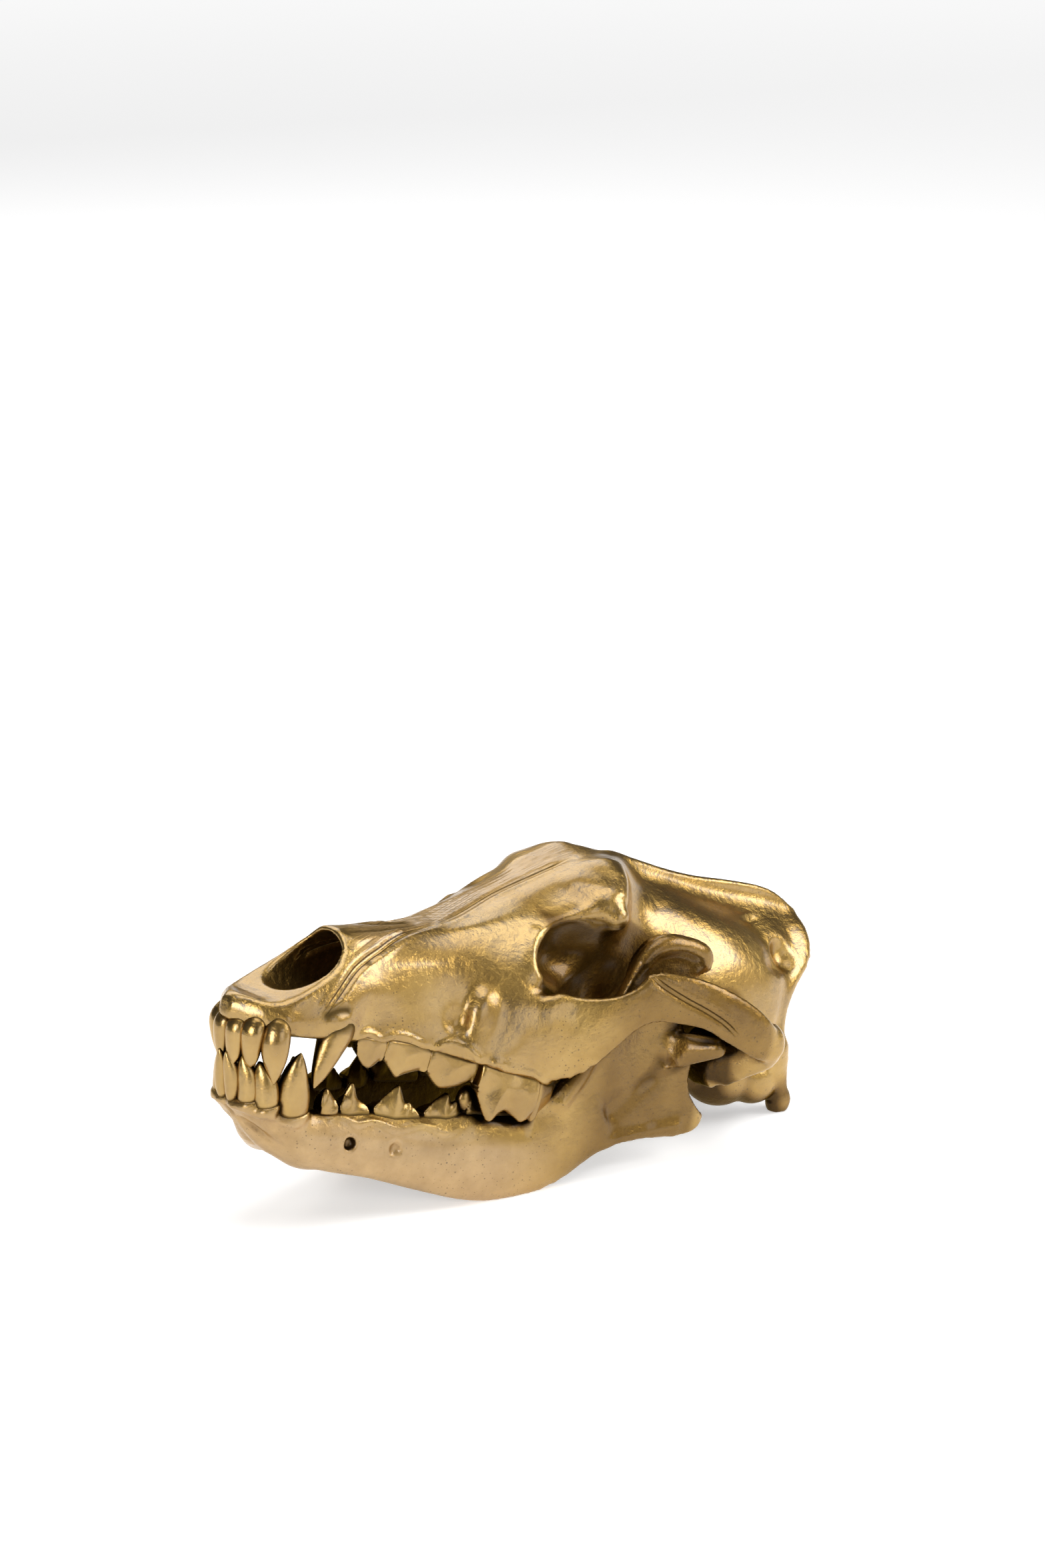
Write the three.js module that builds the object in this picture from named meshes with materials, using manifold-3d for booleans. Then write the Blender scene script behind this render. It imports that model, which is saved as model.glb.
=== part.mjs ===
// Wolf skull: cranium, lower jaw and 42 teeth, resting closed on the lower jaw and the back of the cranium.
// Millimetres. It is modelled with the nose towards -Y, the animal's left towards +X and the upper tooth line
// at z = 0, and then tipped nose-up into the pose in which it rests.
import * as THREE from "three";
import { mergeVertices } from "three/addons/utils/BufferGeometryUtils.js";
import Module from "manifold-3d";

const wasm = await Module();
wasm.setup();

// Driving dimensions
const REST_PITCH = THREE.MathUtils.degToRad(16.8);
const FLOOR_DROP = 78.8; // from the tooth line's front end down to the resting surface
const SOCKET_GAP = 0.35; // between a tooth and the bone around it
const CREST_HALF_WIDTH = 1.7;
const RAMUS_HALF_WIDTH = 2.7;
const ROUND_SIDES = 8;
const SMALL_SIDES = 6;

// Left half of each cross-section of the cranium, from the middle of its top to the middle of its palate, as
// pairs of x and z at the distance y behind the front of the upper jaw, with the top leant back by a slant
// and the sides bowed forwards
const CRANIUM_SECTIONS = [
  {
    y: -5.5,
    half: [[0, 12.5], [2, 12.3], [3.3, 11.5], [4.2, 10.5], [4.5, 9], [4.2, 7], [3.2, 5.6], [2, 5], [0, 5]],
  },
  {
    y: -2.5,
    half: [[0, 15], [4, 14.6], [6.2, 13.4], [7.6, 11.6], [8.2, 9], [7.8, 6.5], [6, 4.5], [3, 3.6], [0, 3.6]],
  },
  {
    y: 3,
    half: [[0, 19], [6, 18.4], [10.4, 16], [13.6, 13], [15, 9.5], [14.8, 6], [12, 3.2], [6, 2], [0, 2]],
  },
  {
    y: 10,
    half: [[0, 24], [7, 23], [12.4, 20], [16.5, 15.5], [18.6, 10], [18.8, 6], [16, 2.8], [7, 1.5], [0, 2]],
  },
  {
    y: 20,
    half: [[0, 32], [7, 31], [12.5, 27.5], [16.5, 21.5], [19, 14], [20, 8], [18.5, 3.2], [9, 3], [0, 4]],
  },
  {
    y: 32,
    half: [[0, 40.6], [5.5, 40.4], [10.5, 36], [15, 30], [19.5, 21], [22, 12], [21, 4], [11, 4], [0, 5]],
  },
  {
    y: 45,
    half: [[0, 42.6], [5.5, 42], [11, 37.5], [16, 31], [20, 23], [21, 13], [21, 4], [11, 4.5], [0, 6]],
  },
  {
    y: 60,
    half: [[0, 43.5], [6, 43], [12, 39.5], [18, 33.5], [21, 25.5], [23, 14], [23.5, 4], [13, 5], [0, 7]],
  },
  {
    y: 75,
    half: [[0, 46], [7, 45.7], [13, 43], [20, 36.5], [24, 27.5], [27, 16], [28, 4], [16, 6], [0, 8]],
  },
  {
    y: 90,
    half: [[0, 51.5], [8, 51.2], [15, 48.5], [23, 41], [29, 31], [34, 18], [36.5, 3], [20, 6], [0, 8]],
  },
  {
    y: 105,
    half: [[0, 58.4], [9, 58.2], [18, 54], [28, 46], [35, 35], [40.5, 20], [40.5, 1.5], [22, 6], [0, 8]],
  },
  {
    y: 120,
    half: [[0, 66], [10, 66], [21, 61.5], [29, 56.5], [31, 42], [33, 26], [36.5, 0.5], [20, 4], [0, 8]],
  },
  {
    y: 133,
    half: [[0, 72.6], [12, 73.4], [23, 69.5], [30, 62], [26, 47], [23, 32], [26, 6], [14, 5], [0, 9]],
  },
  {
    y: 147,
    half: [[0, 77], [14, 77.8], [26, 72.4], [30, 64.5], [24, 51], [19, 36], [15, 20], [11, 14], [0, 14]],
  },
  {
    y: 160,
    half: [[0, 79], [9, 77.5], [17, 70.5], [21, 61], [21, 48], [20, 36], [18, 24], [12, 18], [0, 16]],
  },
  {
    y: 174,
    half: [[0, 76], [5, 73.5], [14, 67], [21, 58], [24, 46], [24, 34], [20, 24], [12, 18], [0, 16]],
  },
  {
    y: 190,
    half: [[0, 73], [6, 70.5], [18, 64], [27, 54], [33, 42], [33, 30], [27, 20], [14, 15], [0, 13]],
  },
  {
    y: 208,
    half: [[0, 70.5], [7, 67.5], [21, 61], [30, 51], [35, 39], [36, 27], [31, 16], [16, 11], [0, 10]],
  },
  {
    y: 225,
    half: [[0, 69], [8, 65], [20, 58], [29, 48], [34, 37], [36, 26], [33, 15], [18, 8], [0, 7]],
  },
  {
    y: 236, slant: 0.16, bow: 0.006,
    half: [[0, 68], [8, 63.5], [18, 56], [26, 46], [32, 35], [34.5, 25], [31, 14], [18, 7], [0, 6]],
  },
  {
    y: 246, slant: 0.24, bow: 0.012,
    half: [[0, 66], [7, 62], [14, 54], [21, 44.5], [27, 34], [30, 24], [26, 13], [12, 7], [0, 7]],
  },
];

// Cheekbone arch of the left side: where its middle runs, and half its thickness and height
const ARCH_STATIONS = [
  { at: [30, 97, 17], thick: 3, tall: 11 },
  { at: [38.5, 110, 15.5], thick: 5, tall: 15.5 },
  { at: [43, 119.5, 17.5], thick: 4.6, tall: 16.5 },
  { at: [47.5, 127, 23], thick: 3.8, tall: 13.5 },
  { at: [53, 136.5, 32], thick: 3, tall: 10 },
  { at: [57, 145, 37.5], thick: 2.7, tall: 9.6 },
  { at: [61.5, 155.5, 39], thick: 2.6, tall: 9.4 },
  { at: [66, 169, 37.8], thick: 2.7, tall: 8.7 },
  { at: [68.5, 183, 33], thick: 2.9, tall: 8.6 },
  { at: [69.5, 195, 27.8], thick: 3.4, tall: 7.4 },
  { at: [64, 204, 25.5], thick: 5, tall: 6 },
  { at: [52, 207, 26], thick: 7, tall: 6 },
  { at: [38, 205, 28], thick: 8, tall: 8 },
];

// Left half of the lower jaw's body: the middle of its thickness, half that, and its lower and upper edges
const JAW_STATIONS = [
  { y: 5.5, x: 2, half: 2.8, low: -26, high: -22.5 },
  { y: 10, x: 4.5, half: 5.2, low: -29.5, high: -23 },
  { y: 16, x: 6.6, half: 7.6, low: -36, high: -24.5 },
  { y: 23, x: 9.3, half: 9.4, low: -42.5, high: -25.2 },
  { y: 34, x: 12.5, half: 9, low: -45.7, high: -24.5 },
  { y: 46, x: 16.5, half: 6.6, low: -46.2, high: -23.2 },
  { y: 62, x: 20.5, half: 5.7, low: -46.6, high: -22.8 },
  { y: 80, x: 25.5, half: 5.7, low: -48.6, high: -21.4 },
  { y: 97, x: 30, half: 6, low: -50, high: -19.4 },
  { y: 112, x: 33, half: 6, low: -49.6, high: -18 },
  { y: 125, x: 35.2, half: 5.6, low: -46.4, high: -15.5 },
  { y: 136, x: 37.6, half: 4.6, low: -38, high: -9 },
  { y: 148, x: 39.4, half: 3.6, low: -27, high: -4 },
];

// Outline, as y and z, of the rising plate at the back of each half of the lower jaw
const RAMUS_OUTLINE = [
  [122, -40], [133, -39], [140, -33], [148, -27], [156, -23], [166, -19.3], [177, -17], [188, -15.7],
  [195, -12.5], [197, -8], [192, -3.5], [187, 1], [185, 8], [186, 16], [183, 22], [178, 24.5], [174.5, 29],
  [174.5, 36], [177, 44], [180, 51], [177, 55.5], [168, 57.4], [159, 57.2], [153, 53], [148.5, 43],
  [145, 29], [141, 13], [138, -1], [133, -9], [122, -14],
];

// Upper teeth of the left side: middle of the neck, tip, half length along the row, half width across it,
// depth of the root, and the row's turn away from +Y
const UPPER_TEETH = {
  upper_incisor_1: [
    { neck: [3.6, -1.2, 4.5], tip: [3.6, 0.8, -11.6], long: 2.8, wide: 2.4, root: 5, turn: 80 },
  ],
  upper_incisor_2: [
    { neck: [9.2, 1.4, 5.6], tip: [9.5, 4.6, -10.6], long: 3.1, wide: 2.6, root: 6, turn: 62 },
  ],
  upper_incisor_3: [
    { neck: [14.6, 7.4, 5], tip: [16, 11.4, -14.4], long: 3.9, wide: 3.2, root: 7, turn: 42 },
  ],
  upper_canine: [{ neck: [18.2, 30.6, 7], tip: [19.4, 29, -12.9], long: 6.9, wide: 4.4, root: 10, turn: 8 }],
  upper_premolar_1: [
    { neck: [19.4, 47.7, 4], tip: [21, 49.2, -5.2], long: 5.7, wide: 2.6, root: 4, turn: 8 },
  ],
  upper_premolar_2: [{ neck: [21.6, 63, 4], tip: [23, 62, -6.4], long: 8.8, wide: 3, root: 5, turn: 12 }],
  upper_premolar_3: [{ neck: [25.6, 81.6, 3.6], tip: [28.2, 80, -9], long: 9, wide: 3.4, root: 5, turn: 18 }],
  upper_premolar_4: [
    { neck: [33.6, 98.8, 2], tip: [38.4, 98.6, -17.8], long: 7.4, wide: 4.4, root: 5, turn: 14 },
    { neck: [36, 107.8, 0.8], tip: [38.6, 109.4, -14], long: 5.2, wide: 4.2, root: 5, turn: 8 },
    { neck: [31.6, 95.4, 2.5], tip: [31.6, 95.6, -4.5], long: 3.4, wide: 4, root: 4, turn: 0 },
  ],
  upper_molar_1: [
    { neck: [36, 116.4, 0], tip: [37.6, 116.4, -14.6], long: 3, wide: 3.8, root: 4, turn: -6 },
    { neck: [35, 121, -0.5], tip: [36, 121.4, -11.2], long: 3, wide: 3.6, root: 4, turn: -10 },
    { neck: [28.4, 118.4, 1.5], tip: [28, 118.4, -4.8], long: 5, wide: 7, root: 3, turn: -8 },
  ],
  upper_molar_2: [
    { neck: [30.4, 127.8, 1.5], tip: [30.8, 127.8, -6.4], long: 3, wide: 4.8, root: 3, turn: -14 },
  ],
};

// Lower teeth of the left side, described in the same way
const LOWER_TEETH = {
  lower_incisor_1: [
    { neck: [2.4, 4.6, -22.6], tip: [1.5, 0, -8.6], long: 1.95, wide: 2.3, root: 4, turn: 84 },
  ],
  lower_incisor_2: [
    { neck: [6.5, 7.6, -23.4], tip: [6.4, 3.8, -8.2], long: 2.2, wide: 2.5, root: 5, turn: 64 },
  ],
  lower_incisor_3: [{ neck: [10.4, 12, -24], tip: [12, 8.6, -9.2], long: 2.6, wide: 2.8, root: 6, turn: 46 }],
  lower_canine: [
    { neck: [14, 22.4, -24.5], tip: [19, 19.6, -2.8], long: 6.2, wide: 4.6, root: 10, turn: 14 },
  ],
  lower_premolar_1: [
    { neck: [15.8, 38.6, -22.8], tip: [16.2, 37, -15.2], long: 3.5, wide: 2.3, root: 4, turn: 16 },
  ],
  lower_premolar_2: [
    { neck: [17.6, 49, -22.6], tip: [18.2, 47, -12.2], long: 5.9, wide: 2.6, root: 5, turn: 15 },
  ],
  lower_premolar_3: [
    { neck: [21.2, 65.4, -22], tip: [22.1, 64.6, -10.9], long: 8.2, wide: 2.8, root: 5, turn: 15 },
  ],
  lower_premolar_4: [
    { neck: [25.6, 83.8, -20.8], tip: [26.6, 84, -11], long: 8, wide: 3, root: 5, turn: 16 },
  ],
  lower_molar_1: [
    { neck: [29, 97.6, -19], tip: [30, 97.4, -8.5], long: 5.2, wide: 3.6, root: 5, turn: 12 },
    { neck: [30.8, 105.6, -18.4], tip: [30.4, 105.2, -3.4], long: 6.4, wide: 3.9, root: 5, turn: 12 },
    { neck: [32, 113.6, -17.6], tip: [31, 113.6, -11.6], long: 4.8, wide: 3.8, root: 5, turn: 10 },
  ],
  lower_molar_2: [
    { neck: [33.2, 123.8, -15.8], tip: [32.6, 123.6, -10.8], long: 4.6, wide: 3.2, root: 4, turn: 8 },
  ],
  lower_molar_3: [
    { neck: [34.6, 131.4, -13.4], tip: [34.2, 131.4, -10], long: 2.2, wide: 2.2, root: 3, turn: 8 },
  ],
};

// How wide a tooth is, as a share of its neck, at steps from the neck (0) to the tip (1)
const CROWN_PROFILE = [[0, 0.96], [0.36, 0.92], [1, 0.13]];
const ROOT_END_WIDTH = 0.55;

const brass = new THREE.MeshStandardMaterial({ color: 0xb08a4a, roughness: 0.38, metalness: 1 });
const brassTooth = new THREE.MeshStandardMaterial({ color: 0xc09a58, roughness: 0.3, metalness: 1 });

const point = ([x, y, z]) => new THREE.Vector3(x, y, z);

// A closed surface through rings of points, with a fan at each end
function loft(rings) {
  const sides = rings[0].length;
  const points = rings.flat();
  const indices = [];
  for (let ring = 0; ring < rings.length - 1; ring += 1) {
    for (let side = 0; side < sides; side += 1) {
      const a = ring * sides + side;
      const b = ring * sides + ((side + 1) % sides);
      indices.push(a, b, b + sides, a, b + sides, a + sides);
    }
  }
  for (const [end, first] of [[rings[0], 0], [rings.at(-1), points.length - sides]]) {
    const centre = end.reduce((sum, p) => sum.add(p), new THREE.Vector3()).divideScalar(sides);
    points.push(centre);
    for (let side = 0; side < sides; side += 1) {
      const edge = [first + side, first + ((side + 1) % sides)];
      if (first === 0) edge.reverse();
      indices.push(edge[0], edge[1], points.length - 1);
    }
  }
  return new THREE.BufferGeometry().setFromPoints(points).setIndex(indices);
}

// An oval ring around a centre, half as wide along each of two directions as the two radii
function ovalRing(centre, first, second, radius1, radius2, sides) {
  return Array.from({ length: sides }, (_, i) => {
    const angle = (i / sides) * 2 * Math.PI;
    return centre
      .clone()
      .addScaledVector(first, radius1 * Math.cos(angle))
      .addScaledVector(second, radius2 * Math.sin(angle));
  });
}

// A rod of oval section whose middle and half thickness and height follow the stations
function sweep(stations, steps, sides = ROUND_SIDES, upwards = new THREE.Vector3(0, 0, 1)) {
  const middle = new THREE.CatmullRomCurve3(stations.map(({ at }) => point(at)));
  const radii = new THREE.CatmullRomCurve3(stations.map(({ thick, tall }) => new THREE.Vector3(thick, tall, 0)));
  const rings = [];
  for (let i = 0; i <= steps; i += 1) {
    const ahead = middle.getTangent(i / steps);
    const across = new THREE.Vector3().crossVectors(ahead, upwards).normalize();
    const up = new THREE.Vector3().crossVectors(across, ahead).normalize();
    const { x: thick, y: tall } = radii.getPoint(i / steps);
    rings.push(ovalRing(middle.getPoint(i / steps), across, up, thick, tall, sides));
  }
  return loft(rings);
}

function ball(centre, radii, sides = ROUND_SIDES) {
  const geometry = new THREE.SphereGeometry(1, sides, Math.round(sides / 2) + 1);
  return geometry.scale(...radii).translate(...centre);
}

// A plate of a given half width across X, from an outline of y and z
function plate(outline, halfWidth) {
  const shape = new THREE.Shape(outline.map(([y, z]) => new THREE.Vector2(y, z)));
  const geometry = new THREE.ExtrudeGeometry(shape, { depth: 2 * halfWidth, bevelEnabled: false });
  const axes = new THREE.Matrix4().set(0, 0, 1, -halfWidth, 1, 0, 0, 0, 0, 1, 0, 0, 0, 0, 0, 1);
  return geometry.applyMatrix4(axes);
}

function signedVolume(vertices, triangles) {
  let volume = 0;
  const corners = [new THREE.Vector3(), new THREE.Vector3(), new THREE.Vector3()];
  for (let i = 0; i < triangles.length; i += 3) {
    corners.forEach((corner, k) => corner.fromArray(vertices, triangles[i + k] * 3));
    volume += corners[0].dot(corners[1].cross(corners[2])) / 6;
  }
  return volume;
}

// A closed geometry as a solid whose faces point out, whichever way round they were listed
function solid(geometry) {
  const bare = geometry.clone();
  bare.deleteAttribute("normal");
  bare.deleteAttribute("uv");
  const merged = mergeVertices(bare, 1e-4);
  const vertices = new Float32Array(merged.attributes.position.array);
  const triangles = new Uint32Array(merged.index.array);
  if (signedVolume(vertices, triangles) < 0) triangles.reverse();
  return new wasm.Manifold(new wasm.Mesh({ numProp: 3, vertProperties: vertices, triVerts: triangles }));
}

const mirrored = (geometry) => geometry.clone().scale(-1, 1, 1);
const bothSides = (...geometries) => geometries.flatMap((g) => [solid(g), solid(mirrored(g))]);
const join = (solids) => solids.reduce((whole, next) => whole.add(next));
const cut = (whole, solids) => solids.reduce((rest, next) => rest.subtract(next), whole);

function namedMesh(name, made, material) {
  const { vertProperties, triVerts } = made.getMesh();
  const geometry = new THREE.BufferGeometry();
  geometry.setAttribute("position", new THREE.BufferAttribute(vertProperties, 3));
  geometry.setIndex(new THREE.BufferAttribute(triVerts, 1));
  geometry.computeVertexNormals();
  const mesh = new THREE.Mesh(geometry, material);
  mesh.name = name;
  return mesh;
}

// The cranium's main form, through its cross-sections
function craniumBody() {
  return loft(
    CRANIUM_SECTIONS.map(({ y, half, slant = 0, bow = 0 }) => {
      const left = half.map(([x, z]) => new THREE.Vector3(x, y + slant * z - bow * x * x, z));
      const right = left.slice(1, -1).reverse().map((p) => new THREE.Vector3(-p.x, p.y, p.z));
      return [...left, ...right];
    }),
  );
}

function sagittalCrest() {
  const outline = [
    [156, 76], [163, 80.6], [176, 79], [190, 77], [206, 75.6], [226, 75.4], [242, 74.6],
      [252, 72.4], [260, 68],
    [262.5, 63], [257, 52], [240, 52], [200, 60], [170, 70],
  ];
  return plate(outline, CREST_HALF_WIDTH);
}

// Flared edge round the back of the braincase, from the crest's end down to behind the ear
function nuchalCrest() {
  const stations = [
    { at: [0, 257, 66], thick: 3, tall: 6 },
    { at: [8, 258, 61.5], thick: 2.8, tall: 5.6 },
    { at: [15.5, 256.5, 53], thick: 2.8, tall: 5 },
    { at: [22, 246.5, 43.5], thick: 2.6, tall: 4.6 },
    { at: [27.5, 240, 34], thick: 2.8, tall: 4 },
    { at: [31, 239.5, 23], thick: 3.2, tall: 4 },
    { at: [32, 241, 13], thick: 4, tall: 4 },
  ];
  return sweep(stations, 7, SMALL_SIDES, new THREE.Vector3(0, 1, 0.2));
}

// Hinge hollow's roof and the spur behind it
function jawHinge() {
  const roof = [
    { at: [28, 192, 31], thick: 13, tall: 5 },
    { at: [48, 192.5, 31], thick: 12.5, tall: 4.6 },
    { at: [66, 193, 30], thick: 10, tall: 4 },
  ];
  return [sweep(roof, 4), ball([46, 197, 18], [13, 4.6, 13.5])];
}

function postorbitalProcess() {
  const stations = [
    { at: [19, 138, 66], thick: 5.5, tall: 5 },
    { at: [27, 141, 65], thick: 4.6, tall: 4.4 },
    { at: [33, 143, 60.5], thick: 2.4, tall: 2.4 },
  ];
  return sweep(stations, 3, SMALL_SIDES, new THREE.Vector3(0.4, 0, 1));
}

// Knob behind the ear bulb, long enough to reach the resting surface
function paroccipitalProcess() {
  const stations = [
    { at: [30, 240, 16], thick: 6, tall: 6 },
    { at: [30, 243.5, 4], thick: 4.2, tall: 4.2 },
    { at: [30, 249, -9], thick: 3.4, tall: 3.6 },
  ];
  return sweep(stations, 3, SMALL_SIDES, new THREE.Vector3(0, 1, 0));
}

function pterygoidPlate() {
  const outline = [[124, 9], [150, 20], [176, 22], [182, 14], [178, 4], [172, 3], [166, 8],
    [150, 7], [134, 1], [124, 0.5]];
  return plate(outline, 1.4).translate(12, 0, 0);
}

// Bone over the canine's root
function canineSwelling() {
  const stations = [
    { at: [17.8, 29, 9], thick: 3.4, tall: 7 },
    { at: [17.2, 36, 19], thick: 3.2, tall: 6 },
    { at: [15.6, 43, 28], thick: 2.2, tall: 4 },
  ];
  return sweep(stations, 3, SMALL_SIDES, new THREE.Vector3(0, 1, 0));
}

// What is cut away above the rim of the nose opening, and the hollow that runs back from it
function noseOpening() {
  const aboveRim = [
    [-20, 20], [-6, 14.2], [5.4, 13.8], [10, 15.3], [16, 18.6], [22, 22.5], [27, 26.3], [31, 30.5], [34, 35],
    [34.5, 38], [34.5, 60], [-20, 60],
  ];
  const hollow = [
    { at: [0, 9, 24], thick: 10, tall: 12 },
    { at: [0, 28, 25], thick: 12.2, tall: 13.6 },
    { at: [0, 48, 25], thick: 10.5, tall: 13 },
    { at: [0, 68, 26.5], thick: 7, tall: 9 },
  ];
  return [plate(aboveRim, 30), sweep(hollow, 4)];
}

// Passage behind the palate, the hole for the spinal cord, and the ear and nerve openings
function craniumHoles() {
  const passage = [
    { at: [0, 120, 19], thick: 5, tall: 4 },
    { at: [0, 136, 13], thick: 8.5, tall: 8 },
    { at: [0, 156, 10], thick: 9, tall: 9 },
    { at: [0, 182, 4], thick: 9, tall: 6 },
  ];
  const spinalHole = [
    { at: [0, 230, 25], thick: 9, tall: 7.5 },
    { at: [0, 268, 22], thick: 11, tall: 9.5 },
  ];
  const cheekNerve = [
    { at: [27, 68, 19], thick: 2.6, tall: 3.6 },
    { at: [27, 88, 21], thick: 2, tall: 2.6 },
  ];
  return [
    solid(sweep(passage, 4)),
    solid(sweep(spinalHole, 1)),
    ...bothSides(sweep(cheekNerve, 1, SMALL_SIDES), ball([38.5, 214, 13], [6, 4, 4], SMALL_SIDES)),
  ];
}

function buildCranium(upperTeeth, otherTeeth) {
  const orbit = ball([43, 126, 48], [21, 20.5, 14], 10);
  const hinge = jawHinge();
  const grown = join([
    solid(craniumBody()),
    solid(sagittalCrest()),
    ...bothSides(
      sweep(ARCH_STATIONS, 13),
      ...hinge,
      nuchalCrest(),
      paroccipitalProcess(),
      canineSwelling(),
      ball([24, 219, 4], [12, 14, 12.5], 10),
      ball([13, 250, 14], [6.5, 7.5, 9.5]),
    ),
  ]);
  const opened = cut(grown, [...noseOpening().map(solid), ...bothSides(orbit)]);
  const edged = join([opened, ...bothSides(postorbitalProcess(), pterygoidPlate())]);
  return cut(edged, [...craniumHoles(), ...upperTeeth, ...otherTeeth]);
}

// One half of the lower jaw's body: an oval section that is flatter on its sides
function jawBody() {
  const middle = new THREE.CatmullRomCurve3(
    JAW_STATIONS.map(({ x, y, low, high }) => new THREE.Vector3(x, y, (low + high) / 2)),
  );
  const radii = new THREE.CatmullRomCurve3(
    JAW_STATIONS.map(({ half, low, high }) => new THREE.Vector3(half, (high - low) / 2, 0)),
  );
  const steps = 13;
  const corner = 1.12; // how far the section's corners stand out of a plain oval
  const rings = [];
  for (let i = 0; i <= steps; i += 1) {
    const centre = middle.getPoint(i / steps);
    const { x: half, y: tall } = radii.getPoint(i / steps);
    const ring = [];
    for (let side = 0; side < ROUND_SIDES; side += 1) {
      const angle = (side / ROUND_SIDES) * 2 * Math.PI;
      const swell = 1 + (corner - 1) * Math.sin(2 * angle) ** 2;
      const x = Math.max(centre.x + half * swell * Math.cos(angle), -0.5);
      ring.push(new THREE.Vector3(x, centre.y, centre.z + tall * swell * Math.sin(angle)));
    }
    rings.push(ring);
  }
  return loft(rings);
}

// The plate leans out towards its back and its top
function lean(geometry) {
  const position = geometry.attributes.position;
  for (let i = 0; i < position.count; i += 1) {
    const outwards = 37.5 + 0.13 * (position.getY(i) - 136) + 0.017 * (position.getZ(i) + 30);
    position.setX(i, position.getX(i) + outwards);
  }
  return geometry;
}

function condyle() {
  const stations = [
    { at: [34, 183, 18.5], thick: 3, tall: 3 },
    { at: [38, 183, 19], thick: 5, tall: 5 },
    { at: [48, 183.2, 19.6], thick: 4.6, tall: 5 },
    { at: [55, 183.4, 20.4], thick: 4.8, tall: 4.8 },
    { at: [58.5, 183.6, 21], thick: 2.6, tall: 2.6 },
  ];
  return sweep(stations, 5, SMALL_SIDES);
}

function angularProcess() {
  const stations = [
    { at: [43.5, 182, -11], thick: 3.4, tall: 5.4 },
    { at: [44.6, 192, -10.6], thick: 3, tall: 4.2 },
    { at: [44.4, 199, -9.2], thick: 1.6, tall: 1.8 },
  ];
  return sweep(stations, 3, SMALL_SIDES);
}

function buildLowerJaw(lowerTeeth, otherTeeth) {
  const muscleHollow = ball([47.6, 163, 16], [5.4, 16, 22], 10);
  const nerveHoles = [
    [{ at: [18, 46.5, -33], thick: 1.9, tall: 2.2 }, { at: [26, 43, -33], thick: 1.9, tall: 2.2 }],
    [{ at: [24, 66, -33], thick: 1.4, tall: 1.6 }, { at: [30, 63.5, -33], thick: 1.4, tall: 1.6 }],
  ].map((stations) => sweep(stations, 1, SMALL_SIDES));
  const grown = join(
    bothSides(jawBody(), lean(plate(RAMUS_OUTLINE, RAMUS_HALF_WIDTH)), condyle(), angularProcess()),
  );
  return cut(grown, [...bothSides(muscleHollow, ...nerveHoles), ...lowerTeeth, ...otherTeeth]);
}

// One cusp with its share of the root, wider all round by a given growth
function cusp({ neck, tip, long, wide, root, turn }, growth) {
  const turned = THREE.MathUtils.degToRad(turn);
  const along = new THREE.Vector3(Math.sin(turned), Math.cos(turned), 0);
  const across = new THREE.Vector3(Math.cos(turned), -Math.sin(turned), 0);
  const base = point(neck);
  const rise = point(tip).sub(base);
  const rootEnd = base.clone().addScaledVector(rise, -(root + growth) / rise.length());
  const ring = (centre, share) =>
    ovalRing(centre, along, across, long * share + growth, wide * share + growth, SMALL_SIDES);
  const crown = CROWN_PROFILE.map(([step, share]) => ring(base.clone().addScaledVector(rise, step), share));
  return loft([ring(rootEnd, ROOT_END_WIDTH), ...crown]);
}

function toothSolids(teeth, growth) {
  return Object.entries(teeth).flatMap(([name, cusps]) =>
    ["left", "right"].map((side) => {
      const shapes = cusps.map((one) => cusp(one, growth));
      const placed = side === "left" ? shapes : shapes.map(mirrored);
      return { name: `${name}_${side}`, made: join(placed.map(solid)) };
    }),
  );
}

const sockets = (teeth) => toothSolids(teeth, SOCKET_GAP).map(({ made }) => made);

// Everything below the resting surface, so that what touches it is flat there
function belowFloor() {
  const slab = new THREE.BoxGeometry(400, 600, 40).translate(0, 0, -FLOOR_DROP - 20);
  return solid(slab.rotateX(REST_PITCH));
}

function buildSkull() {
  const skull = new THREE.Group();
  skull.name = "wolf_skull";
  const floor = belowFloor();
  const upperSockets = sockets(UPPER_TEETH);
  const lowerSockets = sockets(LOWER_TEETH);
  const cranium = buildCranium(upperSockets, lowerSockets).subtract(floor);
  const lowerJaw = buildLowerJaw(lowerSockets, upperSockets).subtract(floor);
  skull.add(namedMesh("cranium", cranium, brass), namedMesh("lower_jaw", lowerJaw, brass));
  for (const { name, made } of [...toothSolids(UPPER_TEETH, 0), ...toothSolids(LOWER_TEETH, 0)]) {
    skull.add(namedMesh(name, made, brassTooth));
  }
  skull.rotation.x = -REST_PITCH;
  return skull;
}

// The origin is on the resting surface, below the middle of the whole
function standOnOrigin(skull) {
  const box = new THREE.Box3().setFromObject(skull, true);
  const middle = box.getCenter(new THREE.Vector3());
  const placed = new THREE.Group();
  skull.position.set(-middle.x, -middle.y, -box.min.z);
  placed.add(skull);
  return placed;
}

export default standOnOrigin(buildSkull());
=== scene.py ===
"""Wolf skull with a satin brass finish: the shapes grow as distance fields in millimetres, in the skull's own
axes (X to the animal's left, Y back from the front of the upper jaw, Z up from the tooth line), and are then
tipped nose-up on to the resting surface, in metres."""

import math

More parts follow.
